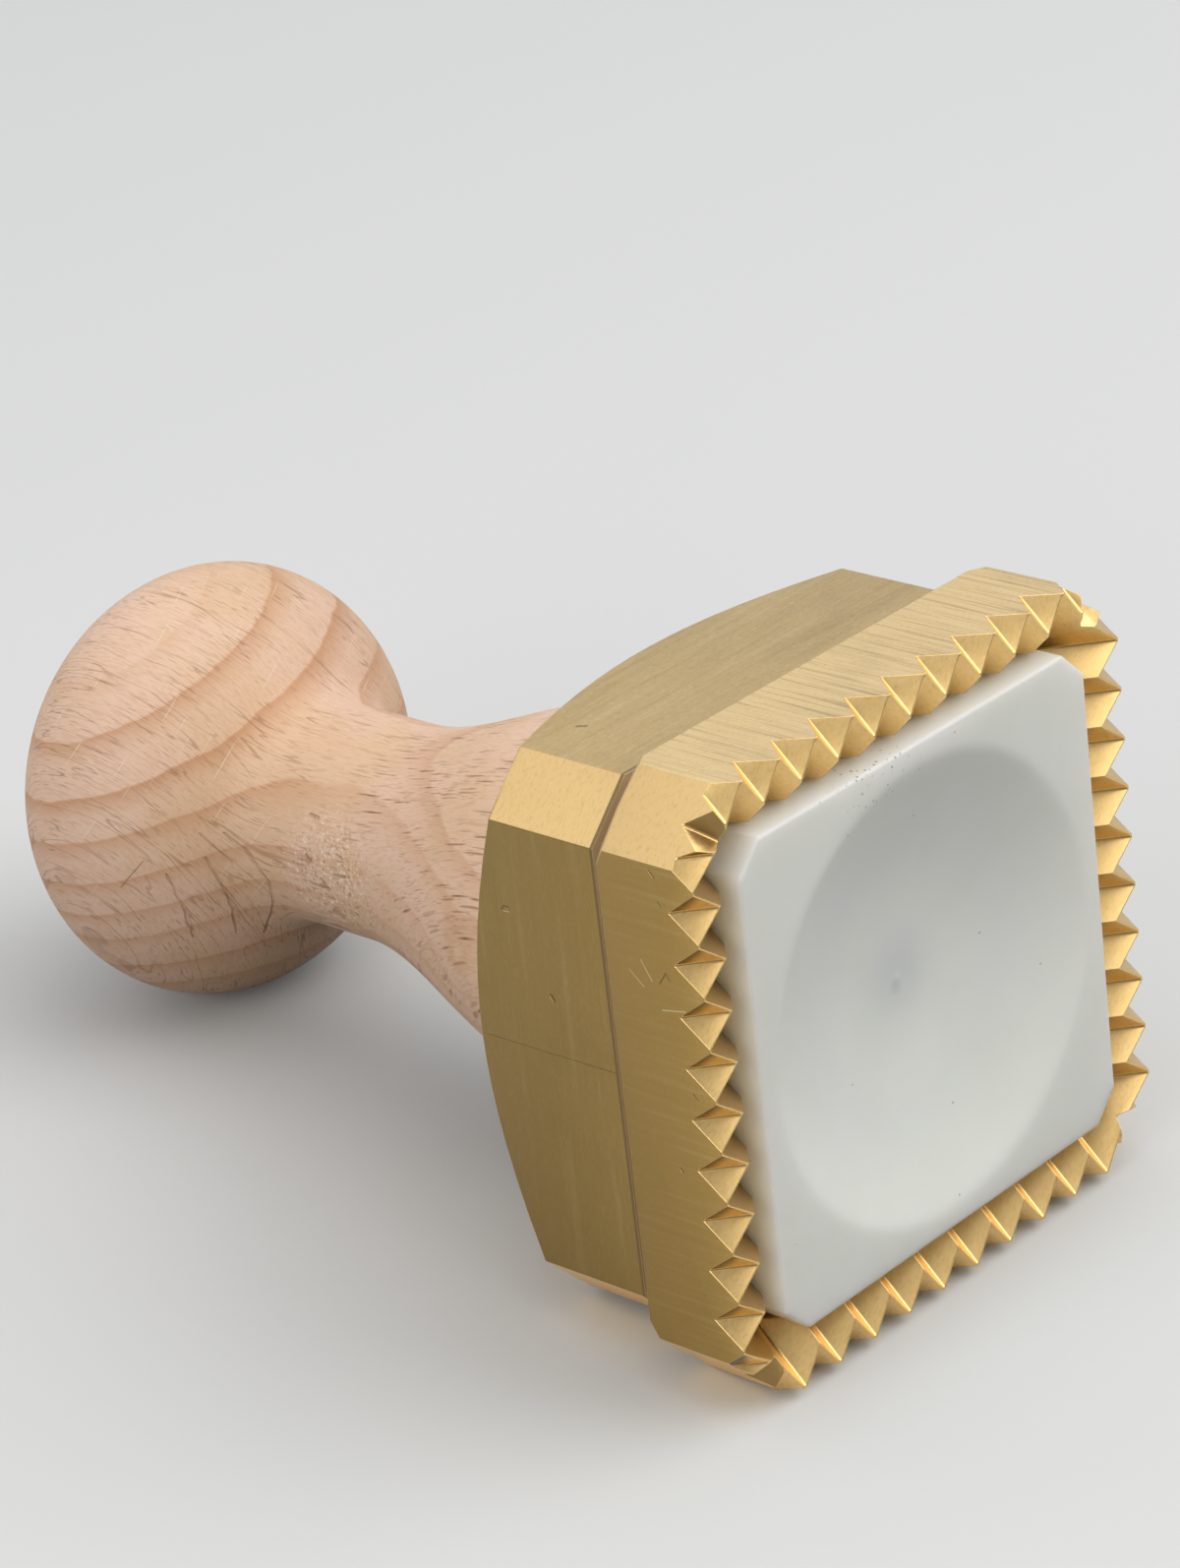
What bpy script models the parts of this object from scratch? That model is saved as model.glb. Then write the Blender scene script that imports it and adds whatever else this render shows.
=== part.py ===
"""Ravioli stamp: a toothed brass cutter with a sprung ejector plate and a turned beech handle.

The stamp lies on one side of its cutter, with its axis along X and its teeth towards +X.
Each piece is modelled about the stamp's own axis, which two empties then lay down:
local Z runs along the axis towards the teeth, and a depth is measured rearwards from
the cutting edge, so a depth d lies at local z = -d.
"""

import math

import bmesh
import bpy
import numpy as np
from mathutils import Vector

# Clearances
SEAT_GAP = 0.0003          # between pieces that touch
PLATE_GAP = 0.0003         # round the ejector plate in its pocket
HUB_GAP = 0.0005           # round the plate's hub in the web and the spring bore
SHANK_GAP = 0.0003         # round a screw or a stem in its hole
STOP_GAP = 0.0004          # behind the plate when it is pushed right back

# Cutter frame
CUTTER_HALF = 0.0300       # half the square over the cutter's sides
CUTTER_CHAMFER = 0.0058    # how much of each side the corner chamfer takes
CUTTER_DEPTH = 0.0111      # from the cutting edge to the back of the sides
CUTTER_WALL = 0.0054       # toothed wall round the pocket
TURNED_EDGE_RADIUS = 0.0376  # where the turned corner meets the back of the sides
NECK_RADIUS = 0.0260       # turned neck behind the sides
WEB_THICKNESS = 0.0026     # floor of the pocket

# Teeth
TEETH_PER_SIDE = 10
LAST_NOTCH = 0.0050        # from the edge of the square to the last notch of the next side
NOTCH_DEPTH = 0.00316      # along the axis, and as much again into the wall
TIP_LAND = 0.0003          # flat left between two notches on a side's edge

# Rear block
BLOCK_HALF = 0.02744
BLOCK_CHAMFER = 0.00507
BLOCK_EDGE_DEPTH = 0.0304  # where the conical back meets the middle of a side
BLOCK_BACK_SLOPE = 0.54    # rise of the conical back per unit of radius
BLOCK_SEAT_RADIUS = 0.0186 # flat on the back that the handle seats on
BOSS_RADIUS = 0.0080       # boss that screws into the handle
BOSS_LENGTH = 0.0130
BOSS_CHAMFER = 0.0008
GUIDE_WALL = 0.0040        # wall that guides the stem and carries the spring
SPRING_BORE_DEPTH = 0.0270 # floor of the spring bore, from the cutting edge
NUT_BORE_RADIUS = 0.0056

# Ejector plate
PLATE_PROUD = 0.0003       # how far the plate stands in front of the cutting edge
PLATE_RIM = 0.0058         # thickness at the rim
PLATE_CHAMFER = 0.0029
DISH_RADIUS = 0.0222
DISH_DEPTH = 0.0047        # at the middle, from the plate's face
HUB_RADIUS = 0.0125
HUB_LENGTH = 0.0035
TRAVEL = 0.0050            # how far the plate pushes back

# Stem, washer and nut
STEM_RADIUS = 0.0030
STEM_SOCKET = 0.0028       # how far the stem screws into the plate's hub
STEM_THREAD_RADIUS = 0.0025
STEM_THREAD_LENGTH = 0.0075
WASHER_RADIUS = 0.0050
WASHER_THICKNESS = 0.0010
NUT_ACROSS_FLATS = 0.0080
NUT_THICKNESS = 0.0045

# Spring
SPRING_RADIUS = 0.0080     # to the middle of the wire
SPRING_WIRE = 0.0006       # radius of the wire
SPRING_TURNS = 6.5
SPRING_STEPS = 10          # points in a turn

# Frame screws
SCREW_CIRCLE = 0.0200      # radius of the circle they stand on
SCREW_RADIUS = 0.0020
SCREW_HEAD_RADIUS = 0.0039
SCREW_HEAD_LAND = 0.0003
SCREW_SINK = 0.0002        # how far the heads lie below the pocket's floor
SCREW_LENGTH = 0.0120
SCREW_SOCKET = 0.00125     # radius of the hexagon socket
SCREW_SOCKET_DEPTH = 0.0012

# Handle
HANDLE_FRONT_RADIUS = 0.0188
HANDLE_WAIST_RADIUS = 0.0110
HANDLE_WAIST_DEPTH = 0.0662  # where the flare has run out, from the cutting edge
HANDLE_RIM_ROUND = 0.0007
KNOB_RADIUS = 0.0221
KNOB_HALF_LENGTH = 0.0163
KNOB_FILLET = 0.0057       # hollow where the neck runs into the knob
STAMP_LENGTH = 0.1086      # from the cutting edge to the end of the knob
BORE_RUN_OUT = 0.0020      # past the end of the boss

# Facets
TURN_STEPS = 48
FINE_STEPS = 64
SMALL_STEPS = 16
SMOOTH_ANGLE = math.radians(30.0)
MERGE = 2e-6               # points closer than this are one
OVERCUT = 0.0010           # how far a cutter runs past what it cuts
OVERLAP = 0.00005          # how far two cutters that meet run into each other
FAR = 0.0500               # further out than any piece

# Places that follow from the sizes
PITCH = 2.0 * (CUTTER_HALF - LAST_NOTCH) / TEETH_PER_SIDE
PLATE_BACK = PLATE_RIM - PLATE_PROUD
POCKET_DEPTH = PLATE_BACK + TRAVEL + STOP_GAP
NECK_BACK = POCKET_DEPTH + WEB_THICKNESS
BLOCK_FRONT = NECK_BACK + SEAT_GAP
BLOCK_BACK = BLOCK_EDGE_DEPTH + BLOCK_BACK_SLOPE * (BLOCK_HALF - BLOCK_SEAT_RADIUS)
BOSS_END = BLOCK_BACK + BOSS_LENGTH
GUIDE_BACK = SPRING_BORE_DEPTH + GUIDE_WALL
HANDLE_FRONT = BLOCK_BACK + SEAT_GAP
HUB_BACK = PLATE_BACK + HUB_LENGTH
BORE_RADIUS = HUB_RADIUS + HUB_GAP
SOCKET_FLOOR = HUB_BACK - STEM_SOCKET - SEAT_GAP
KNOB_CENTRE = STAMP_LENGTH - KNOB_HALF_LENGTH
MODEL_LENGTH = STAMP_LENGTH + PLATE_PROUD


def clear_scene():
    """Remove every object that the file opened with."""
    for thing in list(bpy.data.objects):
        bpy.data.objects.remove(thing, do_unlink=True)


def finish(name, colour, roughness, metallic):
    """Return a material with one plain Principled BSDF."""
    material = bpy.data.materials.new(name)
    material.use_nodes = True
    shader = material.node_tree.nodes["Principled BSDF"]
    shader.inputs["Base Color"].default_value = (*colour, 1.0)
    shader.inputs["Roughness"].default_value = roughness
    shader.inputs["Metallic"].default_value = metallic
    material.diffuse_color = (*colour, 1.0)
    return material


def add_object(name, shape, parent, material=None):
    """Link a mesh or a curve to the scene under its parent empty."""
    thing = bpy.data.objects.new(name, shape)
    bpy.context.scene.collection.objects.link(thing)
    thing.parent = parent
    if material is not None:
        shape.materials.append(material)
    return thing


def add_empty(name, location, parent=None):
    """Add an empty for pieces to hang from."""
    empty = bpy.data.objects.new(name, None)
    bpy.context.scene.collection.objects.link(empty)
    empty.location = location
    empty.parent = parent
    return empty


def mesh_from(bm, name):
    """Close a bmesh into a mesh with its faces pointing out, shaded smooth where it is round."""
    bmesh.ops.recalc_face_normals(bm, faces=bm.faces)
    mesh = bpy.data.meshes.new(name)
    bm.to_mesh(mesh)
    bm.free()
    mesh.shade_smooth()
    mesh.set_sharp_from_angle(angle=SMOOTH_ANGLE)
    return mesh


def outline(half, chamfer):
    """Return the eight corners of a square with chamfered corners, anticlockwise."""
    run = half - chamfer
    corners = []
    for quarter in range(4):
        turn = math.radians(90.0 * quarter)
        for x, y in ((half, -run), (half, run)):
            corners.append((x * math.cos(turn) - y * math.sin(turn),
                            x * math.sin(turn) + y * math.cos(turn)))
    return corners


def inset_chamfer(chamfer, inset):
    """Return the chamfer of an outline whose every side has moved in by inset."""
    return chamfer - (2.0 - math.sqrt(2.0)) * inset


def add_prism(bm, corners, front, back):
    """Extrude an outline between two depths."""
    front_ring = [bm.verts.new((x, y, -front)) for x, y in corners]
    back_ring = [bm.verts.new((x, y, -back)) for x, y in corners]
    bm.faces.new(front_ring)
    bm.faces.new(back_ring)
    for index in range(len(corners)):
        after = (index + 1) % len(corners)
        bm.faces.new((front_ring[index], front_ring[after], back_ring[after], back_ring[index]))


def add_turned(bm, profile, steps, centre=(0.0, 0.0)):
    """Spin a profile of (radius, depth) points, which starts and ends on the axis."""
    verts = [bm.verts.new((centre[0] + radius, centre[1], -depth)) for radius, depth in profile]
    edges = [bm.edges.new(pair) for pair in zip(verts, verts[1:])]
    bmesh.ops.spin(bm, geom=verts + edges, cent=(*centre, 0.0), axis=(0.0, 0.0, 1.0),
                   angle=math.tau, steps=steps)
    bmesh.ops.remove_doubles(bm, verts=bm.verts, dist=MERGE)


def turned_mesh(name, profile, steps=TURN_STEPS):
    """Return the mesh of one turned piece."""
    bm = bmesh.new()
    add_turned(bm, profile, steps)
    return mesh_from(bm, name)


def cylinder_profile(radius, front, back):
    """Return the profile of a plain cylinder between two depths."""
    return [(0.0, front), (radius, front), (radius, back), (0.0, back)]


def boolean(thing, operation, cutter):
    """Cut a piece with a hidden tool."""
    cutter.hide_render = True
    cutter.display_type = "WIRE"
    modifier = thing.modifiers.new(cutter.name, "BOOLEAN")
    modifier.operation = operation
    modifier.solver = "EXACT"
    modifier.object = cutter


def screw_places():
    """Return the centres of the four frame screws, on the pocket's diagonals."""
    reach = SCREW_CIRCLE / math.sqrt(2.0)
    return [(reach, reach), (-reach, reach), (-reach, -reach), (reach, -reach)]


def cutter_blank():
    """Square bar with chamfered corners and a pocket, before its teeth are cut."""
    bm = bmesh.new()
    outer = outline(CUTTER_HALF, CUTTER_CHAMFER)
    pocket = outline(CUTTER_HALF - CUTTER_WALL, inset_chamfer(CUTTER_CHAMFER, CUTTER_WALL))
    rim_outer, rim_inner, floor, back = (
        [bm.verts.new((x, y, -depth)) for x, y in corners]
        for corners, depth in ((outer, 0.0), (pocket, 0.0), (pocket, POCKET_DEPTH),
                               (outer, NECK_BACK)))
    for index in range(len(outer)):
        after = (index + 1) % len(outer)
        for near, far in ((rim_outer, back), (rim_outer, rim_inner), (rim_inner, floor)):
            bm.faces.new((near[index], near[after], far[after], far[index]))
    bm.faces.new(floor)
    bm.faces.new(back)
    return mesh_from(bm, "cutter_frame")


def groove_cutter(name, turn, reach, outward, notches, length, top):
    """Saw-toothed bar that cuts a row of V grooves across the rim at 45 degrees.

    The grooves' roots leave the cutting plane at reach from the axis, on the side that
    turn points to, and sink outwards or inwards by as much as they run. The profile lies
    across them: a root at each notch, a crest half a tooth on, and a flat top above both.
    The diagonals on either side of turn bound the bar, so that it leaves the next side alone.
    """
    out = Vector((math.cos(turn), math.sin(turn), 0.0))
    across = Vector((-out.y, out.x, 0.0))
    forward = Vector((0.0, 0.0, 1.0))
    run = out if outward else -out
    along = (run - forward).normalized()
    up = (run + forward).normalized()
    slope = math.sqrt(2.0) * NOTCH_DEPTH / (PITCH - TIP_LAND)

    profile = [(notches[0] - top / slope, top)]
    for place in notches:
        profile.append((place, 0.0))
        profile.append((place + PITCH / 2.0, slope * PITCH / 2.0))
    profile[-1] = (notches[-1] + top / slope, top)

    bm = bmesh.new()
    ends = []
    for distance in (-top, length * math.sqrt(2.0)):
        start = out * reach + along * distance
        ends.append([bm.verts.new(start + across * place + up * height)
                     for place, height in profile])
    for ring in ends:
        bm.faces.new(ring)
    for index in range(len(profile)):
        after = (index + 1) % len(profile)
        bm.faces.new((ends[0][index], ends[0][after], ends[1][after], ends[1][index]))
    for diagonal in (across - out, -across - out):
        keep_side(bm, diagonal.normalized())
    return mesh_from(bm, name)


def keep_side(bm, normal):
    """Cut a tool off at a plane through the axis and close it, just past the plane."""
    everything = bm.verts[:] + bm.edges[:] + bm.faces[:]
    cut = bmesh.ops.bisect_plane(bm, geom=everything, dist=MERGE, plane_co=normal * OVERLAP,
                                 plane_no=normal, clear_outer=True)
    edges = [thing for thing in cut["geom_cut"] if isinstance(thing, bmesh.types.BMEdge)]
    if edges:
        bmesh.ops.holes_fill(bm, edges=edges)


def cut_teeth(cutter, axis):
    """Cut the zigzag rim: grooves out through each side, and in between them into the pocket.

    Grooves from both sides of the wall meet half a tooth apart, which leaves one zigzag
    edge in the cutting plane with a narrow land on it. One more groove opens each corner.
    """
    last = TEETH_PER_SIDE / 2.0
    outer = [(step - last) * PITCH for step in range(TEETH_PER_SIDE + 1)]
    inner = [place + PITCH / 2.0 for place in outer[:-1]]
    side = CUTTER_HALF - NOTCH_DEPTH
    corner = (2.0 * CUTTER_HALF - CUTTER_CHAMFER) / math.sqrt(2.0) - NOTCH_DEPTH
    outer_length = NOTCH_DEPTH + OVERCUT
    inner_length = CUTTER_WALL + OVERCUT
    for number in range(4):
        turn = math.radians(90.0 * number)
        rows = (("outer", turn, side, True, outer, outer_length, NOTCH_DEPTH + OVERCUT),
                ("inner", turn, CUTTER_HALF, False, inner, inner_length, CUTTER_WALL + OVERCUT),
                ("corner", turn + math.radians(45.0), corner, True, [0.0], outer_length,
                 NOTCH_DEPTH + OVERCUT))
        for word, *sizes in rows:
            name = f"{word}_grooves_{number + 1}"
            boolean(cutter, "DIFFERENCE", add_object(name, groove_cutter(name, *sizes), axis))


def cutter_turning():
    """Turned shape that takes the corners off the back and leaves the neck."""
    rise = FAR - TURNED_EDGE_RADIUS
    profile = [(0.0, -FAR), (FAR, -FAR), (FAR, CUTTER_DEPTH - rise),
               (TURNED_EDGE_RADIUS, CUTTER_DEPTH), (NECK_RADIUS, CUTTER_DEPTH),
               (NECK_RADIUS, NECK_BACK + OVERCUT), (0.0, NECK_BACK + OVERCUT)]
    return turned_mesh("cutter_turning", profile, FINE_STEPS)


def web_holes():
    """Hub hole and four countersunk screw holes through the pocket's floor."""
    bm = bmesh.new()
    add_turned(bm, cylinder_profile(BORE_RADIUS, POCKET_DEPTH - OVERCUT, NECK_BACK + OVERCUT),
               TURN_STEPS)
    head = SCREW_HEAD_RADIUS + SHANK_GAP
    shank = SCREW_RADIUS + SHANK_GAP
    land = POCKET_DEPTH + SCREW_SINK + SCREW_HEAD_LAND
    profile = [(0.0, POCKET_DEPTH - OVERCUT), (head, POCKET_DEPTH - OVERCUT),
               (head, land), (shank, land + head - shank),
               (shank, NECK_BACK + OVERCUT), (0.0, NECK_BACK + OVERCUT)]
    for place in screw_places():
        add_turned(bm, profile, SMALL_STEPS, place)
    return mesh_from(bm, "web_holes")


def block_blank():
    """Square bar with chamfered corners that the rear block is turned from."""
    bm = bmesh.new()
    add_prism(bm, outline(BLOCK_HALF, BLOCK_CHAMFER), BLOCK_FRONT, BOSS_END)
    return mesh_from(bm, "rear_block")


def block_turning():
    """Turned shape of the conical back, the handle's seat and the boss."""
    reach = FAR - BLOCK_HALF
    profile = [(0.0, BLOCK_FRONT - OVERCUT), (FAR, BLOCK_FRONT - OVERCUT),
               (FAR, BLOCK_EDGE_DEPTH - BLOCK_BACK_SLOPE * reach),
               (BLOCK_SEAT_RADIUS, BLOCK_BACK), (BOSS_RADIUS, BLOCK_BACK),
               (BOSS_RADIUS, BOSS_END - BOSS_CHAMFER),
               (BOSS_RADIUS - BOSS_CHAMFER - OVERCUT, BOSS_END + OVERCUT),
               (0.0, BOSS_END + OVERCUT)]
    return turned_mesh("block_turning", profile, FINE_STEPS)


def block_holes():
    """Spring bore, stem guide, nut bore and the blind holes of the four screws."""
    bm = bmesh.new()
    guide = STEM_RADIUS + SHANK_GAP
    add_turned(bm, [(0.0, BLOCK_FRONT - OVERCUT), (BORE_RADIUS, BLOCK_FRONT - OVERCUT),
                    (BORE_RADIUS, SPRING_BORE_DEPTH), (guide, SPRING_BORE_DEPTH),
                    (guide, GUIDE_BACK), (NUT_BORE_RADIUS, GUIDE_BACK),
                    (NUT_BORE_RADIUS, BOSS_END + OVERCUT), (0.0, BOSS_END + OVERCUT)],
               TURN_STEPS)
    shank = cylinder_profile(SCREW_RADIUS + SHANK_GAP, BLOCK_FRONT - OVERCUT,
                             POCKET_DEPTH + SCREW_LENGTH + SHANK_GAP)
    for place in screw_places():
        add_turned(bm, shank, SMALL_STEPS, place)
    return mesh_from(bm, "block_holes")


def screw_mesh():
    """Countersunk screw with its head just inside the pocket's floor."""
    land = SCREW_SINK + SCREW_HEAD_LAND
    point = SCREW_RADIUS / 2.0
    profile = [(0.0, SCREW_SINK), (SCREW_HEAD_RADIUS, SCREW_SINK), (SCREW_HEAD_RADIUS, land),
               (SCREW_RADIUS, land + SCREW_HEAD_RADIUS - SCREW_RADIUS),
               (SCREW_RADIUS, SCREW_LENGTH - point), (point, SCREW_LENGTH), (0.0, SCREW_LENGTH)]
    return turned_mesh("frame_screw", profile, SMALL_STEPS)


def socket_mesh():
    """Hexagon socket in a screw's head."""
    bm = bmesh.new()
    hexagon = [(SCREW_SOCKET * math.cos(math.radians(60.0 * corner)),
                SCREW_SOCKET * math.sin(math.radians(60.0 * corner))) for corner in range(6)]
    add_prism(bm, hexagon, -OVERCUT, SCREW_SINK + SCREW_SOCKET_DEPTH)
    return mesh_from(bm, "screw_socket")


def plate_blank():
    """Square ejector plate with chamfered corners."""
    bm = bmesh.new()
    half = CUTTER_HALF - CUTTER_WALL - PLATE_GAP
    add_prism(bm, outline(half, PLATE_CHAMFER), -PLATE_PROUD, PLATE_BACK)
    return mesh_from(bm, "ejector_plate")


def hub_mesh():
    """Round hub behind the plate, which rides in the spring bore."""
    overlap = PLATE_BACK - SEAT_GAP
    return turned_mesh("plate_hub", cylinder_profile(HUB_RADIUS, overlap, HUB_BACK))


def dish_mesh():
    """Ball that hollows the dish in the plate's face.

    A ball whose cap has the dish's radius and depth has the radius
    (radius squared + depth squared) / (2 x depth).
    """
    ball = (DISH_RADIUS ** 2 + DISH_DEPTH ** 2) / (2.0 * DISH_DEPTH)
    centre = ball - DISH_DEPTH + PLATE_PROUD
    reach = math.asin((DISH_RADIUS + OVERCUT) / ball)
    angles = np.linspace(0.0, reach, 9)
    cap = [(ball * math.sin(angle), ball * math.cos(angle) - centre) for angle in angles]
    lift = -PLATE_PROUD - 2.0 * OVERCUT
    return turned_mesh("dish", cap + [(cap[-1][0], lift), (0.0, lift)], FINE_STEPS)


def socket_bore():
    """Blind hole in the hub that the stem screws into."""
    radius = STEM_RADIUS + SHANK_GAP
    return turned_mesh("stem_socket", cylinder_profile(radius, SOCKET_FLOOR, HUB_BACK + OVERCUT),
                       SMALL_STEPS)


def stem_mesh():
    """Stem with a shoulder at the guide wall's back and a thread behind it for the nut."""
    chamfer = STEM_THREAD_RADIUS / 5.0
    end = GUIDE_BACK + STEM_THREAD_LENGTH
    profile = [(0.0, SOCKET_FLOOR + SEAT_GAP), (STEM_RADIUS, SOCKET_FLOOR + SEAT_GAP),
               (STEM_RADIUS, GUIDE_BACK), (STEM_THREAD_RADIUS, GUIDE_BACK),
               (STEM_THREAD_RADIUS, end - chamfer), (STEM_THREAD_RADIUS - chamfer, end),
               (0.0, end)]
    return turned_mesh("guide_stem", profile, SMALL_STEPS)


def washer_mesh():
    """Washer that stops the plate against the back of the guide wall."""
    front = GUIDE_BACK + SEAT_GAP
    return turned_mesh("stem_washer", cylinder_profile(WASHER_RADIUS, front,
                                                       front + WASHER_THICKNESS), 2 * SMALL_STEPS)


def nut_mesh():
    """Hexagon nut behind the washer."""
    bm = bmesh.new()
    front = GUIDE_BACK + WASHER_THICKNESS + 2.0 * SEAT_GAP
    corner = NUT_ACROSS_FLATS / math.sqrt(3.0)
    hexagon = [(corner * math.cos(math.radians(60.0 * step)),
                corner * math.sin(math.radians(60.0 * step))) for step in range(6)]
    add_prism(bm, hexagon, front, front + NUT_THICKNESS)
    return mesh_from(bm, "stem_nut")


def thread_bore(name):
    """Clearance bore for the stem's thread."""
    profile = cylinder_profile(STEM_THREAD_RADIUS + SHANK_GAP, GUIDE_BACK - OVERCUT,
                               GUIDE_BACK + STEM_THREAD_LENGTH + OVERCUT)
    return turned_mesh(name, profile, SMALL_STEPS)


def spring_points():
    """Return the points of the spring: a helix with a closed half turn flat at each end."""
    front = HUB_BACK + SEAT_GAP + SPRING_WIRE
    back = SPRING_BORE_DEPTH - SEAT_GAP - SPRING_WIRE
    turns = np.linspace(0.0, SPRING_TURNS, round(SPRING_TURNS * SPRING_STEPS) + 1)
    climb = 2.0 * SPRING_WIRE + 2.0 * SEAT_GAP
    knots = [0.0, 1.0, SPRING_TURNS - 1.0, SPRING_TURNS]
    depth = np.interp(turns, knots, [front, front + climb, back - climb, back])
    return np.column_stack((SPRING_RADIUS * np.cos(math.tau * turns),
                            SPRING_RADIUS * np.sin(math.tau * turns), -depth))


def least_gap(points, wire):
    """Return the least gap between a coil's neighbouring turns, measured on its points."""
    apart = np.linalg.norm(points[:, None, :] - points[None, :, :], axis=2)
    near = np.abs(np.subtract.outer(np.arange(len(points)), np.arange(len(points))))
    return float(apart[near > SPRING_STEPS // 2].min()) - 2.0 * wire


def spring_curve():
    """Return the spring as one tube along its helix."""
    points = spring_points()
    curve = bpy.data.curves.new("ejector_spring", "CURVE")
    curve.dimensions = "3D"
    curve.bevel_depth = SPRING_WIRE
    curve.bevel_resolution = 1
    curve.use_fill_caps = True
    spline = curve.splines.new("POLY")
    spline.points.add(len(points) - 1)
    for place, point in zip(spline.points, points):
        place.co = (*point, 1.0)
    print(f"ejector_spring: least gap between turns {least_gap(points, SPRING_WIRE) * 1000:.2f} mm")
    return curve


def handle_profile():
    """Return the handle's profile, from the middle of its front to the end of the knob.

    The flare is an S curve from the front to the waist, the straight neck runs into the knob
    by a hollow fillet, and the knob is half an ellipse swung round the axis.
    """
    rim_centre = (HANDLE_FRONT_RADIUS - HANDLE_RIM_ROUND, HANDLE_FRONT + HANDLE_RIM_ROUND)
    profile = [(0.0, HANDLE_FRONT)]
    for angle in np.radians([90.0, 45.0, 0.0]):
        profile.append((rim_centre[0] + HANDLE_RIM_ROUND * math.cos(angle),
                        rim_centre[1] - HANDLE_RIM_ROUND * math.sin(angle)))

    flare_start = rim_centre[1]
    for share in np.linspace(0.0, 1.0, 15)[1:]:
        rest = 1.0 - share
        radius = (HANDLE_WAIST_RADIUS
                  + (HANDLE_FRONT_RADIUS - HANDLE_WAIST_RADIUS) * (3.0 - 2.0 * rest) * rest ** 2)
        profile.append((radius, flare_start + share * (HANDLE_WAIST_DEPTH - flare_start)))

    meeting, fillet_depth, lean = knob_meeting()
    fillet_radius = HANDLE_WAIST_RADIUS + KNOB_FILLET
    for angle in np.linspace(0.0, lean, 7):
        profile.append((fillet_radius - KNOB_FILLET * math.cos(angle),
                        fillet_depth + KNOB_FILLET * math.sin(angle)))
    for angle in np.linspace(meeting, 0.0, 19)[1:]:
        profile.append((KNOB_RADIUS * math.sin(angle),
                        KNOB_CENTRE + KNOB_HALF_LENGTH * math.cos(angle)))
    profile[-1] = (0.0, STAMP_LENGTH)
    return profile


def knob_normal(angle):
    """Return the knob's outward normal at an angle of its ellipse, as (radius, depth)."""
    normal = Vector((math.sin(angle) / KNOB_RADIUS, math.cos(angle) / KNOB_HALF_LENGTH))
    return normal.normalized()


def knob_meeting():
    """Find where the fillet touches the knob, by halving.

    The fillet's centre stands the fillet's radius off the ellipse, and the same off the
    waist. Returns the ellipse's angle there, the centre's depth, and the fillet's sweep.
    """
    low, high = math.pi / 2.0, math.pi
    goal = HANDLE_WAIST_RADIUS + KNOB_FILLET
    for _ in range(60):
        angle = (low + high) / 2.0
        centre = KNOB_RADIUS * math.sin(angle) + KNOB_FILLET * knob_normal(angle)[0]
        if centre > goal:
            low = angle
        else:
            high = angle
    normal = knob_normal(angle)
    depth = KNOB_CENTRE + KNOB_HALF_LENGTH * math.cos(angle) + KNOB_FILLET * normal[1]
    sweep = math.atan2(-normal[1], normal[0])
    return angle, depth, sweep


def handle_bore():
    """Blind bore in the handle for the boss."""
    radius = BOSS_RADIUS + SHANK_GAP
    return turned_mesh("handle_bore", cylinder_profile(radius, HANDLE_FRONT - OVERCUT,
                                                       BOSS_END + BORE_RUN_OUT))


def build_cutter(axis, brass):
    """Toothed frame with its neck, web and holes."""
    cutter = add_object("cutter_frame", cutter_blank(), axis, brass)
    cut_teeth(cutter, axis)
    boolean(cutter, "INTERSECT", add_object("cutter_turning", cutter_turning(), axis))
    boolean(cutter, "DIFFERENCE", add_object("web_holes", web_holes(), axis))


def build_block(axis, brass):
    """Rear block with its conical back, boss and bores."""
    block = add_object("rear_block", block_blank(), axis, brass)
    boolean(block, "INTERSECT", add_object("block_turning", block_turning(), axis))
    boolean(block, "DIFFERENCE", add_object("block_holes", block_holes(), axis))


def build_screws(axis, steel):
    """Four countersunk screws that hold the cutter frame to the rear block."""
    mesh = screw_mesh()
    socket = socket_mesh()
    for number, (x, y) in enumerate(screw_places(), start=1):
        screw = add_object(f"frame_screw_{number}", mesh, axis, steel if number == 1 else None)
        screw.location = (x, y, -POCKET_DEPTH)
        cutter = add_object(f"screw_socket_{number}", socket, axis)
        cutter.location = screw.location
        boolean(screw, "DIFFERENCE", cutter)


def build_ejector(slide, plastic, steel):
    """Plate with its hub and dish, and the stem, washer and nut that keep it in."""
    plate = add_object("ejector_plate", plate_blank(), slide, plastic)
    boolean(plate, "UNION", add_object("plate_hub", hub_mesh(), slide))
    boolean(plate, "DIFFERENCE", add_object("dish", dish_mesh(), slide))
    boolean(plate, "DIFFERENCE", add_object("stem_socket", socket_bore(), slide))
    add_object("guide_stem", stem_mesh(), slide, steel)
    washer = add_object("stem_washer", washer_mesh(), slide, steel)
    boolean(washer, "DIFFERENCE", add_object("washer_bore", thread_bore("washer_bore"), slide))
    nut = add_object("stem_nut", nut_mesh(), slide, steel)
    boolean(nut, "DIFFERENCE", add_object("nut_bore", thread_bore("nut_bore"), slide))


def build_handle(axis, beech):
    """Turned handle with its blind bore."""
    handle = add_object("handle", turned_mesh("handle", handle_profile()), axis, beech)
    boolean(handle, "DIFFERENCE", add_object("handle_bore", handle_bore(), axis))


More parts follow.
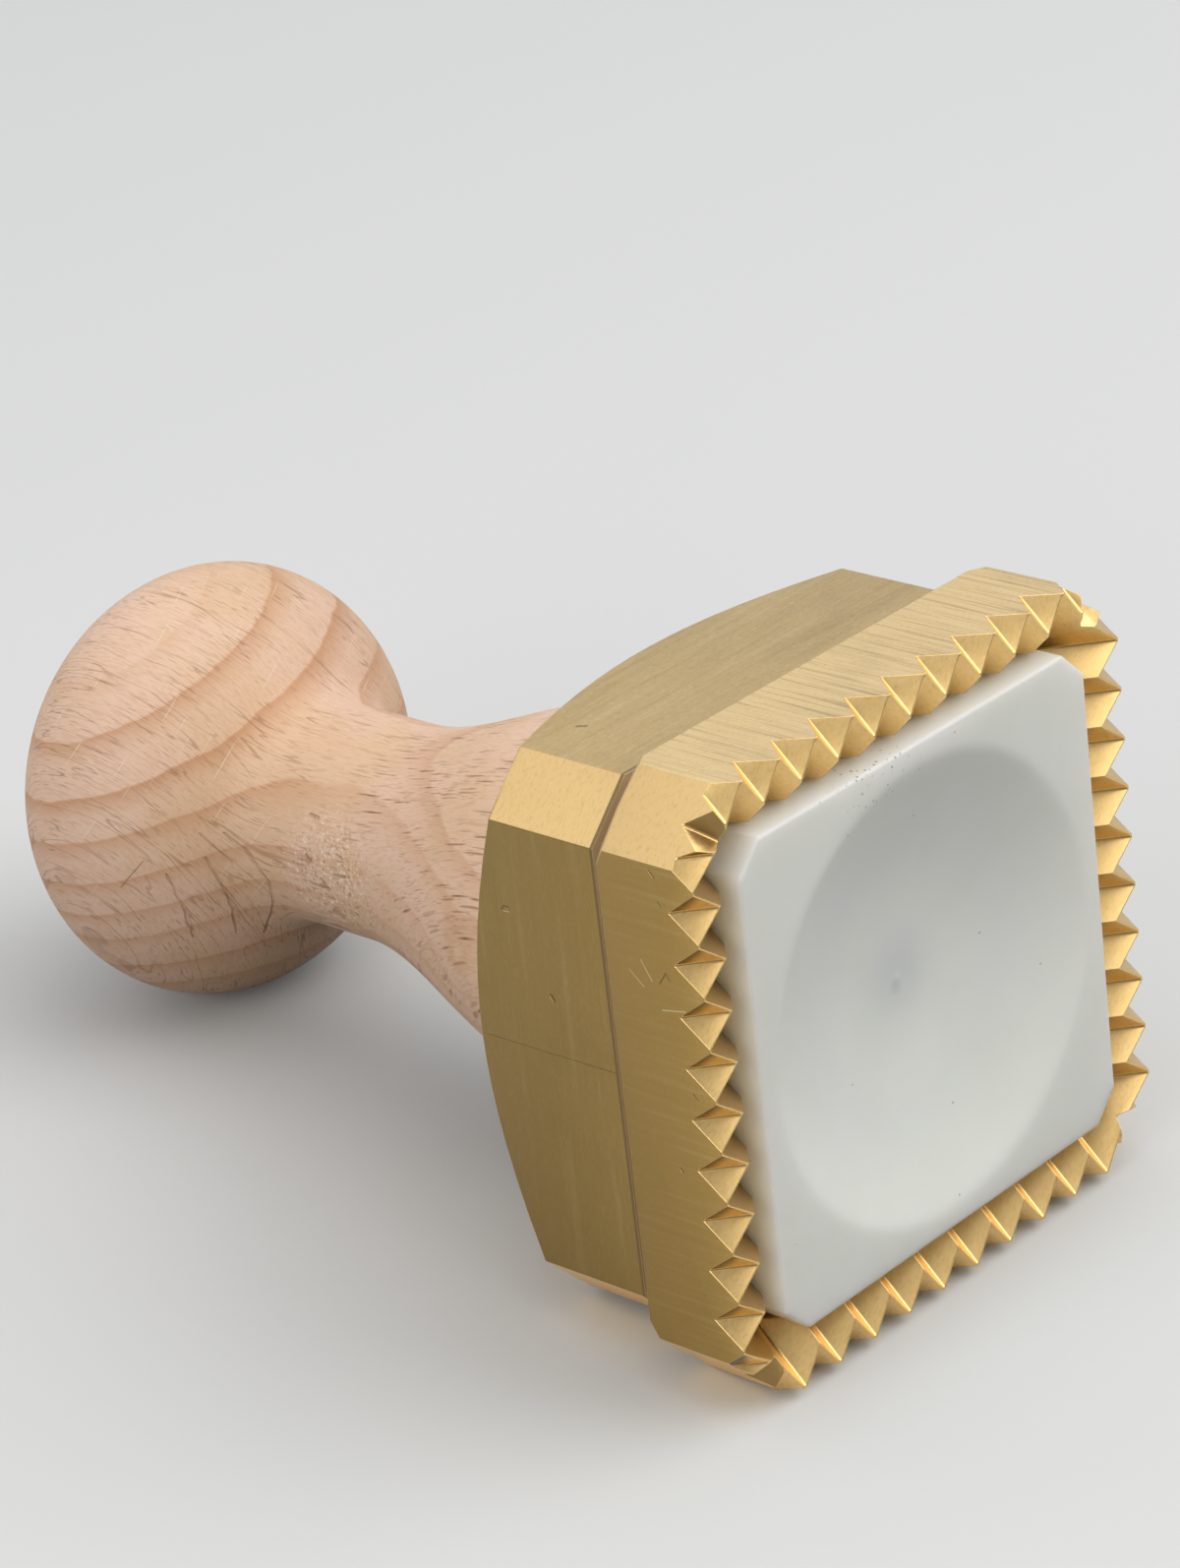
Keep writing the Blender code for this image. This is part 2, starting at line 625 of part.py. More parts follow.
def main():
    """Build the stamp, lying on one side of its cutter."""
    clear_scene()
    brass = finish("brass", (0.62, 0.45, 0.20), 0.32, 1.0)
    plastic = finish("white_plastic", (0.68, 0.69, 0.66), 0.35, 0.0)
    beech = finish("beech", (0.73, 0.54, 0.42), 0.60, 0.0)
    steel = finish("steel", (0.55, 0.55, 0.56), 0.30, 1.0)

    axis = add_empty("stamp_axis", (MODEL_LENGTH / 2.0 - PLATE_PROUD, 0.0, CUTTER_HALF))
    axis.rotation_euler = (0.0, math.radians(90.0), 0.0)
    slide = add_empty("ejector_slide", (0.0, 0.0, 0.0), axis)

    build_cutter(axis, brass)
    build_block(axis, brass)
    build_screws(axis, steel)
    build_ejector(slide, plastic, steel)
    add_object("ejector_spring", spring_curve(), axis, steel)
    build_handle(axis, beech)


if __name__ == "__main__":
    main()
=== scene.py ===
"""Dressed model of a ravioli stamp: brass cutter and block, white ejector plate, beech handle.

The stamp lies on one side of its cutter. Its axis runs along X at the height AXIS_HEIGHT,
with the teeth towards +X. A depth is measured rearwards from the cutting edge.
"""

import logging
import math
from collections.abc import Callable, Mapping, Sequence
from dataclasses import dataclass
from enum import Enum
from functools import reduce
from typing import Any

import bmesh
import bpy
import numpy as np
from mathutils import Matrix, Vector


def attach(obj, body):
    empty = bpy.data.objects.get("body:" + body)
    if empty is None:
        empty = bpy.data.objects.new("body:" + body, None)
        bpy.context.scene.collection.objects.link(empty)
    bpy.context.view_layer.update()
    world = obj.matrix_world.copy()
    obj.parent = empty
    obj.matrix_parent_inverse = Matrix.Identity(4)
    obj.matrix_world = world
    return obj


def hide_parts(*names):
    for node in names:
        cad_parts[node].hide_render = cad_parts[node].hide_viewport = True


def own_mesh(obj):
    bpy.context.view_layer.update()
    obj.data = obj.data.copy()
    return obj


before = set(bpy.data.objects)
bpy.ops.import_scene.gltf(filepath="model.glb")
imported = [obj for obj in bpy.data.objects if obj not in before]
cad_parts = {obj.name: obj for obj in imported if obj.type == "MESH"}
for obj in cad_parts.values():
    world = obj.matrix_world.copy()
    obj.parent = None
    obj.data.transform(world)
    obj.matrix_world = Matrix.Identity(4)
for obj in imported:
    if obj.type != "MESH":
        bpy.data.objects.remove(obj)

log = logging.getLogger("ravioli_stamp")

CUTTING_EDGE = 0.05415
AXIS_HEIGHT = 0.0300
TAU = 2.0 * math.pi

Triple = tuple[float, float, float]
Span = tuple[float, float]
Colour = Triple


def tint(red: int, green: int, blue: int) -> Colour:
    """Return the scene-linear colour that shows as these 8-bit display values.

    The display's curve is v / 12.92 up to 0.04045 and ((v + 0.055) / 1.055) ^ 2.4 above it.
    """
    parts = [value / 255.0 for value in (red, green, blue)]
    linear = [part / 12.92 if part <= 0.04045 else ((part + 0.055) / 1.055) ** 2.4
              for part in parts]
    return linear[0], linear[1], linear[2]


def joined(operation: str, swapped: bool = False) -> Callable[["Wire", "Wire | float"], "Wire"]:
    """Return a method that joins a wire and another value, or swapped, by a Math node."""
    def method(wire: "Wire", other: "Wire | float") -> "Wire":
        """Join the two."""
        pair = (other, wire) if swapped else (wire, other)
        return wire.maths(operation, *pair)
    return method


def feed(socket: bpy.types.NodeSocket, value: Any) -> None:
    """Set an input, by a wire or to a plain value."""
    if isinstance(value, Wire):
        value.tree.links.new(value.socket, socket)
    else:
        socket.default_value = value


class Wire:
    """One output of a node. Python's operators on it add Math nodes."""

    def __init__(self, tree: bpy.types.NodeTree, socket: bpy.types.NodeSocket) -> None:
        """Hold a socket and the tree it is in."""
        self.tree = tree
        self.socket = socket

    def maths(self, operation: str, *values: "Wire | float", clamp: bool = False) -> "Wire":
        """Join values by one Math node. With clamp, the result is kept between 0 and 1."""
        node = self.tree.nodes.new("ShaderNodeMath")
        node.operation = operation
        node.use_clamp = clamp
        for socket, value in zip(node.inputs, values):
            feed(socket, value)
        return Wire(self.tree, node.outputs[0])

    __add__ = joined("ADD")
    __radd__ = joined("ADD", swapped=True)
    __sub__ = joined("SUBTRACT")
    __rsub__ = joined("SUBTRACT", swapped=True)
    __mul__ = joined("MULTIPLY")
    __rmul__ = joined("MULTIPLY", swapped=True)
    __truediv__ = joined("DIVIDE")
    __pow__ = joined("POWER")
    most = joined("MAXIMUM")
    least = joined("MINIMUM")

    def clamped(self) -> "Wire":
        """Keep between 0 and 1."""
        return self.maths("ADD", self, 0.0, clamp=True)

    def magnitude(self) -> "Wire":
        """Drop the sign."""
        return self.maths("ABSOLUTE", self)


@dataclass(frozen=True)
class Stroke:
    """A scratch, crack, dent or stain: a line through points on a surface.

    The half width and the points are in millimetres.
    """

    half_width: float
    points: tuple[Triple, ...]


class Recipe:
    """A material or a world while its nodes are written.

    In the finishes below, two bare numbers after a noise are the levels between which a mask
    rises or falls, and a bare factor after a mask is how strongly it shows.
    """

    core: float = 0.35  # the share of a stroke's half width that shows at full strength

    def __init__(self, owner: bpy.types.Material | bpy.types.World) -> None:
        """Start with no nodes in the material or the world."""
        owner.use_nodes = True
        self.owner = owner
        self.tree = owner.node_tree
        self.tree.nodes.clear()

    @classmethod
    def material(cls, name: str) -> "Recipe":
        """Start a material of that name."""
        return cls(bpy.data.materials.new(name))

    def node(self, kind: str, settings: Mapping[str, Any] | None = None,
             sockets: Mapping[str | int, Any] | None = None, output: str | int = 0) -> Wire:
        """Add any node that isn't plain maths, and return one of its outputs.

        The settings, such as a ramp's stops, are set before the inputs' values and wires.
        Inputs and outputs go by name or number.
        """
        node = self.tree.nodes.new(kind)
        for name, value in (settings or {}).items():
            if name == "stops":
                ramp = node.color_ramp
                while len(ramp.elements) < len(value):
                    ramp.elements.new(0.5)
                for stop, (place, colour) in zip(ramp.elements, value):
                    stop.position = place
                    stop.color = (*colour, 1.0)
            else:
                setattr(node, name, value)
        for name, value in (sockets or {}).items():
            feed(node.inputs[name], value)
        return Wire(self.tree, node.outputs[output])

    def place(self) -> Wire:
        """Return the point's Object coordinates, in metres."""
        return self.node("ShaderNodeTexCoord", output="Object")

    def facing(self) -> Wire:
        """Return the surface's own normal in the object's space."""
        return self.node("ShaderNodeTexCoord", output="Normal")

    def split(self, vector: Wire) -> tuple[Wire, Wire, Wire]:
        """Return a vector's three parts."""
        node = self.node("ShaderNodeSeparateXYZ", sockets={"Vector": vector}).socket.node
        x, y, z = (Wire(self.tree, output) for output in node.outputs)
        return x, y, z

    def join(self, x: Wire | float, y: Wire | float, z: Wire | float) -> Wire:
        """Return a vector of three parts."""
        return self.node("ShaderNodeCombineXYZ", sockets={"X": x, "Y": y, "Z": z})

    def vector(self, operation: str, first: Wire, second: Wire | Sequence[float],
               output: str = "Vector") -> Wire:
        """Join two vectors by one Vector Math node."""
        return self.node("ShaderNodeVectorMath", {"operation": operation},
                         {0: first, 1: second}, output)

    def scaled(self, direction: Sequence[float], reach: Wire) -> Wire:
        """Return a fixed direction times a varying reach."""
        return self.node("ShaderNodeVectorMath", {"operation": "SCALE"},
                         {0: direction, "Scale": reach})

    def along(self, vector: Wire, direction: Sequence[float]) -> Wire:
        """Return how far a vector reaches along a direction."""
        return self.vector("DOT_PRODUCT", vector, direction, "Value")

    def apart(self, vector: Wire, point: Wire | Sequence[float]) -> Wire:
        """Return the distance from a point."""
        return self.vector("DISTANCE", vector, point, "Value")

    def rays(self, *kinds: str) -> Wire:
        """Return 1 on rays of any of these kinds, by the Light Path node's outputs."""
        outputs = self.node("ShaderNodeLightPath").socket.node.outputs
        return reduce(Wire.most, (Wire(self.tree, outputs[kind]) for kind in kinds))

    def noise(self, vector: Wire, scale: float, detail: float = 2.0,
              rough: float = 0.5, bend: float = 0.0) -> Wire:
        """Return smooth noise around 0.5 with scale waves per unit and detail octaves."""
        return self.node("ShaderNodeTexNoise", sockets={
            "Vector": vector, "Scale": scale, "Detail": detail,
            "Roughness": rough, "Distortion": bend})

    def streaks(self, parts: Sequence[Wire], waves: Sequence[float], detail: float = 2.0,
                rough: float = 0.5) -> Wire:
        """Return noise with its own number of waves per metre along each part."""
        return self.noise(self.join(*(part * count for part, count in zip(parts, waves))),
                          1.0, detail, rough)

    def cells(self, vector: Wire, scale: float) -> Wire:
        """Return the distance to the nearest of a scatter of points, in cells."""
        return self.node("ShaderNodeTexVoronoi", sockets={"Vector": vector, "Scale": scale},
                         output="Distance")

    def ease(self, value: Wire, low: float, high: float) -> Wire:
        """Rise smoothly from 0 at low to 1 at high, or fall where low is the larger."""
        if low > high:
            return 1.0 - self.ease(value, high, low)
        return self.node("ShaderNodeMapRange", {"interpolation_type": "SMOOTHSTEP"},
                         {"Value": value, "From Min": low, "From Max": high})

    def blend(self, share: Wire | float, first: Wire | Colour, second: Wire | Colour) -> Wire:
        """Blend two colours by the share of the second."""
        under, over = (value if isinstance(value, Wire) else (*value, 1.0)
                       for value in (first, second))
        return self.node("ShaderNodeMix", {"data_type": "RGBA", "clamp_factor": True},
                         {0: share, 6: under, 7: over}, 2)

    def bump(self, height: Wire, strength: float) -> Wire:
        """Return a normal bent by a height in metres."""
        return self.node("ShaderNodeBump", sockets={
            "Height": height, "Strength": strength, "Distance": 1.0})

    def flatten(self, place: Wire, direction: Vector, share: float) -> Wire:
        """Return p - share (p . d) d, where the reach along d counts for little."""
        taken = self.scaled(direction * share, self.along(place, direction))
        return self.vector("SUBTRACT", place, taken)

    def distance(self, place: Wire, points: Sequence[Vector]) -> Wire:
        """Return the distance to a line through points.

        For each stretch from a to b, with q = p - a and v = b - a, it is
        |q - clamp(q . v / |v|^2) v|, and the least of them counts. All is in metres.
        """
        gaps = []
        for start, end in zip(points[:-1], points[1:]):
            run = end - start
            off = self.vector("SUBTRACT", place, start)
            share = self.along(off, run / run.length_squared).clamped()
            gaps.append(self.apart(off, self.scaled(run, share)))
        return reduce(Wire.least, gaps)

    def strokes(self, place: Wire, strokes: Sequence[Stroke],
                direction: Vector = Vector(), share: float = 0.0) -> Wire:
        """Return 1 on the middle of any of some strokes, falling to 0 at their sides.

        Both the place and the strokes lose this share of their reach along the direction.
        """
        flat = self.flatten(place, direction, share) if share else place
        total = None
        for stroke in strokes:
            points = [Vector(point) * 0.001 for point in stroke.points]
            points = [point - direction * (share * point.dot(direction)) for point in points]
            width = stroke.half_width * 0.001
            mask = self.ease(self.distance(flat, points), width, width * self.core)
            total = mask if total is None else total.most(mask)
        return total

    def finish(self, sockets: Mapping[str | int, Any]) -> bpy.types.Material:
        """Close the material with one Principled BSDF and return it."""
        self.close("ShaderNodeOutputMaterial",
                   self.node("ShaderNodeBsdfPrincipled", sockets=sockets))
        return self.owner

    def close(self, kind: str, shader: Wire) -> None:
        """Wire a shader to the output node."""
        feed(self.tree.nodes.new(kind).inputs["Surface"], shader)


class Toolmarks(Enum):
    """Which way a brass part's machining lines run.

    Each holds the waves per metre in x, y and z, of the fine lines and then of the coarse
    ones, and how strongly both show on the top and on the side.
    """

    MILLED = ((90.0, 4200.0, 4200.0), (45.0, 1500.0, 1500.0), (0.30, 0.06))
    TURNED = ((4200.0, 90.0, 90.0), (700.0, 35.0, 35.0), (0.12, 0.05))


@dataclass(frozen=True)
class BrassFinish:
    """Machined brass gone dull olive, with its toolmarks, its dents and its scratches.

    What ends in at or reach is in metres, in lean a part of the unit normal, and in waves a
    number per metre. The back's metal is 1 for pure metal. The seam is the block's
    front, just visible behind the cutter.
    """

    name: str
    toolmarks: Toolmarks
    top: Colour
    # painted shade: the flat sides' colour is a darker copy of the top's
    side: Colour
    back: Colour
    back_metal: float
    dents: tuple[Stroke, ...]
    # glints: painted highlights along nicks and scratches
    glints: tuple[Stroke, ...]
    fresh: Colour = tint(237, 199, 131)
    chamfer: Colour = tint(252, 213, 147)
    bright: Colour = tint(255, 236, 192)
    shaded: Colour = tint(140, 112, 62)
    # seam_shade: painted shade on the block's front in the joint behind the cutter
    seam_shade: Colour = tint(200, 176, 142)
    # grime_and_shade: grime in the worn toolmarks, and painted shade on the teeth's sideways
    # flanks and on the seam's edge
    grime_and_shade: Colour = tint(112, 88, 50)
    # dark: the dents' colour, and also painted shade on the teeth's down-facing flanks
    dark: Colour = tint(84, 70, 48)
    teeth_at: Span = (CUTTING_EDGE - 0.0066, CUTTING_EDGE - 0.0064)
    root_at: float = CUTTING_EDGE - 0.0032
    root_reach: float = 0.0027
    seam_at: float = CUTTING_EDGE - 0.0139
    seam_reach: Span = (0.00026, 0.00018)
    flat_lean: Span = (0.80, 0.92)
    behind_lean: Span = (-0.35, -0.55)
    teeth_lean: Span = (0.35, 0.45)
    flank_lean: Span = (0.58, 0.66)
    peel_waves: Triple = (4200.0, 1700.0, 1700.0)
    turned_waves: float = 1900.0

    @classmethod
    def of_cutter(cls) -> "BrassFinish":
        """Return the milled cutter's finish, with the nicks along its left side."""
        return cls(
            # the top's tint, then the side's tint, which is painted shade
            "milled_brass", Toolmarks.MILLED, tint(251, 220, 162), tint(171, 140, 81),
            tint(212, 186, 138), 0.70,
            dents=(Stroke(0.14, ((49.37, -30.0, 53.55), (49.76, -30.0, 53.08))),
                   Stroke(0.11, ((49.95, -30.0, 50.75), (50.20, -30.0, 50.35))),
                   Stroke(0.10, ((49.12, -30.0, 42.78), (49.95, -30.0, 43.95),
                                 (50.31, -30.0, 43.28))),
                   Stroke(0.10, ((51.57, -30.0, 32.64), (52.07, -30.0, 32.20))),
                   Stroke(0.14, ((49.10, -30.0, 24.60), (49.30, -30.0, 24.30)))),
            glints=(Stroke(0.08, ((47.20, -30.0, 44.62), (48.27, -30.0, 42.77))),
                    Stroke(0.07, ((45.70, -30.0, 43.32), (47.21, -30.0, 42.00))),
                    Stroke(0.11, ((49.10, -30.0, 40.21), (51.75, -30.0, 40.72)))))

    @classmethod
    def of_block(cls) -> "BrassFinish":
        """Return the turned block's finish, with the dent and the pit on its left side."""
        return cls(
            # the top's tint, then the side's tint, which is painted shade
            "turned_brass", Toolmarks.TURNED, tint(213, 184, 130), tint(157, 130, 78),
            tint(208, 178, 122), 1.0,
            dents=(Stroke(0.11, ((28.30, -27.44, 43.66), (28.62, -27.44, 44.05),
                                 (29.15, -27.44, 44.02), (29.35, -27.44, 43.80))),
                   Stroke(0.27, ((33.20, -27.44, 36.25), (33.42, -27.44, 35.90))),
                   Stroke(0.05, ((24.41, -27.44, 30.15), (32.18, -27.44, 30.22),
                                 (39.98, -27.44, 30.37))),
                   Stroke(0.30, ((29.85, -16.70, 57.44), (30.45, -16.30, 57.44)))),
            glints=(Stroke(0.17, ((29.10, 13.60, 57.44), (29.28, 13.78, 57.44))),
                    Stroke(0.13, ((35.80, 6.00, 57.44), (35.95, 6.15, 57.44))),
                    Stroke(0.09, ((28.55, -27.44, 43.55), (29.20, -27.44, 43.60)))))

    def make(self) -> bpy.types.Material:
        """Write the material."""
        recipe = Recipe.material(self.name)
        place = recipe.place()
        x, y, z = parts = recipe.split(place)
        lean_x, lean_y, lean_z = recipe.split(recipe.facing())
        flat_top = recipe.ease(lean_z.magnitude(), *self.flat_lean)
        flat_side = recipe.ease(lean_y.magnitude(), *self.flat_lean)
        flats = flat_top.most(flat_side)
        behind = recipe.ease(lean_x, *self.behind_lean)
        teeth = recipe.ease(x, *self.teeth_at) * recipe.ease(lean_x, *self.teeth_lean)
        low_flank = teeth * recipe.ease(0.0 - lean_z, *self.flank_lean)
        high_flank = teeth * recipe.ease(lean_z, *self.flank_lean)
        rooted = recipe.ease(x, self.root_at + self.root_reach, self.root_at)
        # the teeth's flanks that face sideways, which get painted shade
        sideways_flank_shade = teeth * recipe.ease(lean_y.magnitude() - lean_z.magnitude(), 0.35, 0.55)
        # where the joint's painted shade replaces the brass
        seam = recipe.ease((x - self.seam_at).magnitude(), *self.seam_reach) * 0.9
        fine_waves, coarse_waves, (on_top, on_side) = self.toolmarks.value
        lines = recipe.streaks(parts, fine_waves)
        coarse = recipe.streaks(parts, coarse_waves, 3.0, 0.6)
        reach = on_top * flat_top + on_side * flat_side
        peel = recipe.streaks(parts, self.peel_waves, 3.0, 0.65)
        smooth = 0.15 - 0.11 * flat_side
        radius = recipe.apart(recipe.join(0.0, y, z), (0.0, 0.0, AXIS_HEIGHT))
        rings = recipe.noise(recipe.join(radius * self.turned_waves, 0.0, 0.0), 1.0, 3.0, 0.7)
        clouds = recipe.noise(place, 90.0, 3.0, 0.55, 0.3)
        body = recipe.blend(flat_top, self.chamfer, self.top)
        # painted shade: the flat sides take the darker side colour
        body = recipe.blend(flat_side, body, self.side)
        body = recipe.blend(teeth, body, self.fresh)
        body = recipe.blend(high_flank * rooted * 0.55, body, self.shaded)
        # painted shade on the teeth's down-facing flanks
        body = recipe.blend(low_flank * 0.9, body, self.dark)
        body = recipe.blend(behind, body, self.back)
        body = recipe.blend(recipe.ease(coarse, 0.52, 0.70) * reach
                            + recipe.ease(peel, 0.50, 0.72) * smooth, body, self.bright)
        worn = (recipe.ease(coarse, 0.48, 0.32) * reach
                + recipe.ease(lines, 0.50, 0.30) * reach * 0.7
                + recipe.ease(rings, 0.50, 0.30) * behind * 0.30
                + recipe.ease(clouds, 0.50, 0.75) * 0.10 + recipe.ease(peel, 0.50, 0.28) * smooth)
        body = recipe.blend(worn.clamped(), body, self.grime_and_shade)
        # painted shade on the teeth's flanks that face sideways
        body = recipe.blend(sideways_flank_shade * 0.8, body, self.grime_and_shade)
        dents = recipe.strokes(place, self.dents)
        glints = recipe.strokes(place, self.glints)
        # painted highlights on nicks and scratches, which also dip a little in the relief
        body = recipe.blend(glints * 0.35, body, self.bright)
        body = recipe.blend(dents * 0.50, body, self.dark)
        # painted shade in the joint: the block's front shows matte tan, darker on its edge
        gap = recipe.blend(recipe.ease(lean_x, 0.60, 0.95), self.grime_and_shade, self.seam_shade)
        colour = recipe.blend(seam, body, gap)
        relief = ((lines * 0.000004 + coarse * 0.000010) * (0.15 + flats) + peel * 0.000005
                  + rings * behind * 0.000006 - dents * 0.00008 - glints * 0.00002)
        return recipe.finish({
            "Base Color": colour,
            "Metallic": 1.0 - behind * (1.0 - self.back_metal) - seam * 0.9,
            "Roughness": 0.27 + 0.10 * peel + 0.06 * flats + 0.14 * behind,
            "Normal": recipe.bump(relief, 0.8)})


@dataclass(frozen=True)
class BeechFinish:
    """Turned beech: growth rings, vessel lines, rays, small cracks and torn grain.

    The rings are level surfaces of a field in millimetres: a slope plus a bend, with the
    place measured from ring_middle in units of ring_unit. Each ring is its level, how dark
    its edge is, and how far the darkness fades. The vessels lie in planes across the
    direction across. A cell is a dash's room along the grain, through the planes and across
    them, in metres, and waves are a number per metre in the same order.
    """

    name: str = "beech"
    rosy: Colour = tint(225, 190, 165)
    straw: Colour = tint(219, 184, 151)
    ring: Colour = tint(194, 141, 100)
    vessel: Colour = tint(134, 92, 62)
    # torn: pale colour of the scratches, and of the painted highlights on the torn grain
    torn: Colour = tint(246, 230, 210)
    ring_middle: Triple = (-0.020, 0.0, AXIS_HEIGHT)
    ring_unit: float = 0.020
    ring_slope: Triple = (-2.48, -1.92, 19.75)
    ring_bend: tuple[float, ...] = (1.76, 0.15, -0.27, 0.17, -1.60, -4.81)
    loop_place: Triple = (0.0115, -0.0178, 0.0291)
    loop_height: float = 7.0
    loop_reach: float = 0.0042
    knob_rings: tuple[Triple, ...] = (
        (-19.0, 0.50, 2.2), (-15.2, 0.60, 2.0), (-11.2, 0.65, 2.2), (-6.1, 0.60, 1.8),
        (-2.1, 0.60, 2.0), (2.6, 0.65, 2.2), (8.43, 0.70, 2.8), (14.15, 0.85, 3.0),
        (20.7, 0.75, 2.6), (25.6, 0.25, 1.6))
    neck_rings: tuple[Triple, ...] = (
        (-15.2, 0.30, 2.0), (-11.2, 0.35, 2.2), (-6.1, 0.35, 1.8), (-2.1, 0.35, 2.0),
        (2.6, 0.35, 2.2), (8.43, 0.40, 2.2), (11.5, 0.50, 2.0))
    ring_low: float = -24.0
    ring_span: float = 52.0
    neck_from: float = -0.0200
    neck_to: float = -0.0120
    across: Triple = (0.0, 0.87, 0.49)
    through: Triple = (0.0, -0.49, 0.87)
    scratched: Triple = (0.63, 0.45, -0.63)
    torn_place: Triple = (-0.0115, -0.0108, 0.0290)
    facing_way: Triple = (-0.640, 0.646, -0.415)
    sway_way: Triple = (0.7, 0.5, 0.5)
    sway: float = 0.0005
    fine_cell: Triple = (0.0026, 0.0018, 0.00022)
    bold_cell: Triple = (0.0070, 0.0034, 0.00036)
    fibre_waves: Triple = (700.0, 1500.0, 5200.0)
    hair_waves: Triple = (70.0, 90.0, 1100.0)
    scratch_waves: Triple = (5200.0, 130.0, 130.0)
    cracks: tuple[Stroke, ...] = (
        Stroke(0.20, ((-24.52, -12.44, 32.25), (-22.58, -11.38, 30.02), (-21.12, -10.59, 26.89),
                      (-22.16, -9.44, 23.89), (-25.22, -8.49, 19.53))),
        Stroke(0.19, ((-25.70, -14.25, 30.06), (-25.29, -13.27, 27.04),
                      (-25.31, -12.16, 23.85), (-26.05, -11.48, 20.64))),
        Stroke(0.17, ((-28.15, -17.42, 29.05), (-27.80, -16.48, 25.58),
                      (-28.23, -15.22, 21.30))),
        Stroke(0.12, ((-25.93, -14.36, 32.73), (-24.14, -12.28, 29.14))),
        Stroke(0.09, ((-29.75, -18.92, 30.66), (-31.82, -20.27, 28.05))))
    blemishes: tuple[Stroke, ...] = (
        Stroke(0.22, ((-14.70, -9.75, 35.40), (-13.80, -9.55, 35.20))),
        Stroke(0.28, ((-13.20, -10.90, 29.20), (-12.40, -10.90, 28.30))),
        Stroke(0.34, ((-12.90, -9.95, 25.50), (-11.90, -9.90, 25.00))),
        Stroke(0.20, ((-15.60, -10.10, 31.10), (-14.90, -10.30, 30.60))),
        Stroke(0.30, ((-39.55, -21.95, 27.90), (-39.00, -21.90, 27.50))),
        Stroke(0.16, ((-10.60, -10.80, 32.50), (-9.90, -10.80, 32.20))))

    def ring_field(self, recipe: Recipe, place: Wire) -> Wire:
        """Return the field whose levels are the growth rings.

        With q the place from ring_middle, the field is s . q + b . (qx^2, qy^2, qz^2,
        qx qy, qx qz, qy qz), plus a round hill beside the block that closes some rings into
        loops, plus a slow and a fine sway.
        """
        near = recipe.node("ShaderNodeMapping", {"vector_type": "TEXTURE"}, {
            "Vector": place, "Location": self.ring_middle,
            "Scale": (self.ring_unit,) * 3})
        x, y, z = recipe.split(near)
        bend = self.ring_bend
        field = (recipe.along(near, self.ring_slope) + x * x * bend[0] + y * y * bend[1]
                 + z * z * bend[2] + x * y * bend[3] + x * z * bend[4] + y * z * bend[5])
        gap = recipe.apart(place, self.loop_place) / self.loop_reach
        hill = gap.maths("EXPONENT", gap * gap * -1.0) * self.loop_height
        slow = recipe.noise(place, 60.0) - 0.5
        fine = recipe.noise(place, 420.0) - 0.5
        return field + hill + slow * 2.0 + fine * 0.7

    def ring_shade(self, recipe: Recipe, field: Wire, rings: Sequence[Triple]) -> Wire:
        """Return the late wood's darkness, full just below each ring's level."""
        stops = []
        for level, dark, fade in rings:
            for offset, value in ((-fade, 0.0), (0.0, dark), (0.25, 0.0)):
                stops.append(((level + offset - self.ring_low) / self.ring_span, (value,) * 3))
        return recipe.node("ShaderNodeValToRGB", {"stops": stops}, {
            "Fac": (field - self.ring_low) / self.ring_span})

    def dashes(self, recipe: Recipe, grain: Sequence[Wire], cell: Triple,
               size: float) -> Wire:
        """Return 1 inside thin dashes, one to a cell, with size the half length's share of it."""
        spot = recipe.join(*(reach / step for reach, step in zip(grain, cell)))
        return recipe.ease(recipe.cells(spot, 1.0), size, size * 0.55)

    def make(self) -> bpy.types.Material:
        """Write the material."""
        recipe = Recipe.material(self.name)
        place = recipe.place()
        x, _, _ = recipe.split(place)
        through = recipe.along(place, self.through)
        across = recipe.along(place, self.across)
        grain = (x, through, across)
        neck = recipe.ease(x, self.neck_from, self.neck_to)
        field = self.ring_field(recipe, place)
        shade = (self.ring_shade(recipe, field, self.knob_rings) * (1.0 - neck)
                 + self.ring_shade(recipe, field, self.neck_rings) * neck)
        clouds = recipe.noise(place, 75.0, 3.0, 0.55)
        fibre = recipe.streaks(grain, self.fibre_waves, 3.0, 0.6)
        wood = recipe.blend(recipe.ease(clouds, 0.38, 0.62), self.rosy, self.straw)
        wood = recipe.blend(shade ** 1.2, wood, self.ring)
        wood = recipe.blend(recipe.ease(fibre, 0.55, 0.35) * 0.24, wood, self.ring)
        thick = recipe.ease(recipe.noise(place, 190.0), 0.36, 0.60)
        fine = self.dashes(recipe, grain, self.fine_cell, 0.32)
        bold = self.dashes(recipe, grain, self.bold_cell, 0.34)
        hair = recipe.streaks(grain, self.hair_waves, 1.0)
        hair = recipe.ease((hair - 0.5).magnitude(), 0.020, 0.006) * (0.35 + 0.65 * thick)
        vessels = (fine * (0.12 + 0.24 * thick) + bold * thick * (0.06 + 0.56 * neck)).clamped()
        scratches = recipe.streaks((recipe.along(place, self.scratched), x, across),
                                   self.scratch_waves, 1.0)
        scratches = recipe.ease(scratches, 0.70, 0.78) * (1.0 - neck)
        torn_area = recipe.ease(recipe.apart(place, self.torn_place), 0.0095, 0.0030)
        crumbs = recipe.noise(place, 2300.0, 2.0, 0.6)
        way = Vector(self.facing_way).normalized()
        sway = recipe.noise(place, 650.0, 1.0) - 0.5
        swayed = recipe.vector("ADD", place, recipe.scaled(self.sway_way, sway * self.sway))
        cracks = recipe.strokes(swayed, self.cracks, way, 0.95)
        blemishes = recipe.strokes(swayed, self.blemishes, way, 0.95)
        colour = recipe.blend(vessels, wood, self.vessel)
        colour = recipe.blend(hair * 0.42 * (1.0 - neck * 0.6), colour, self.vessel)
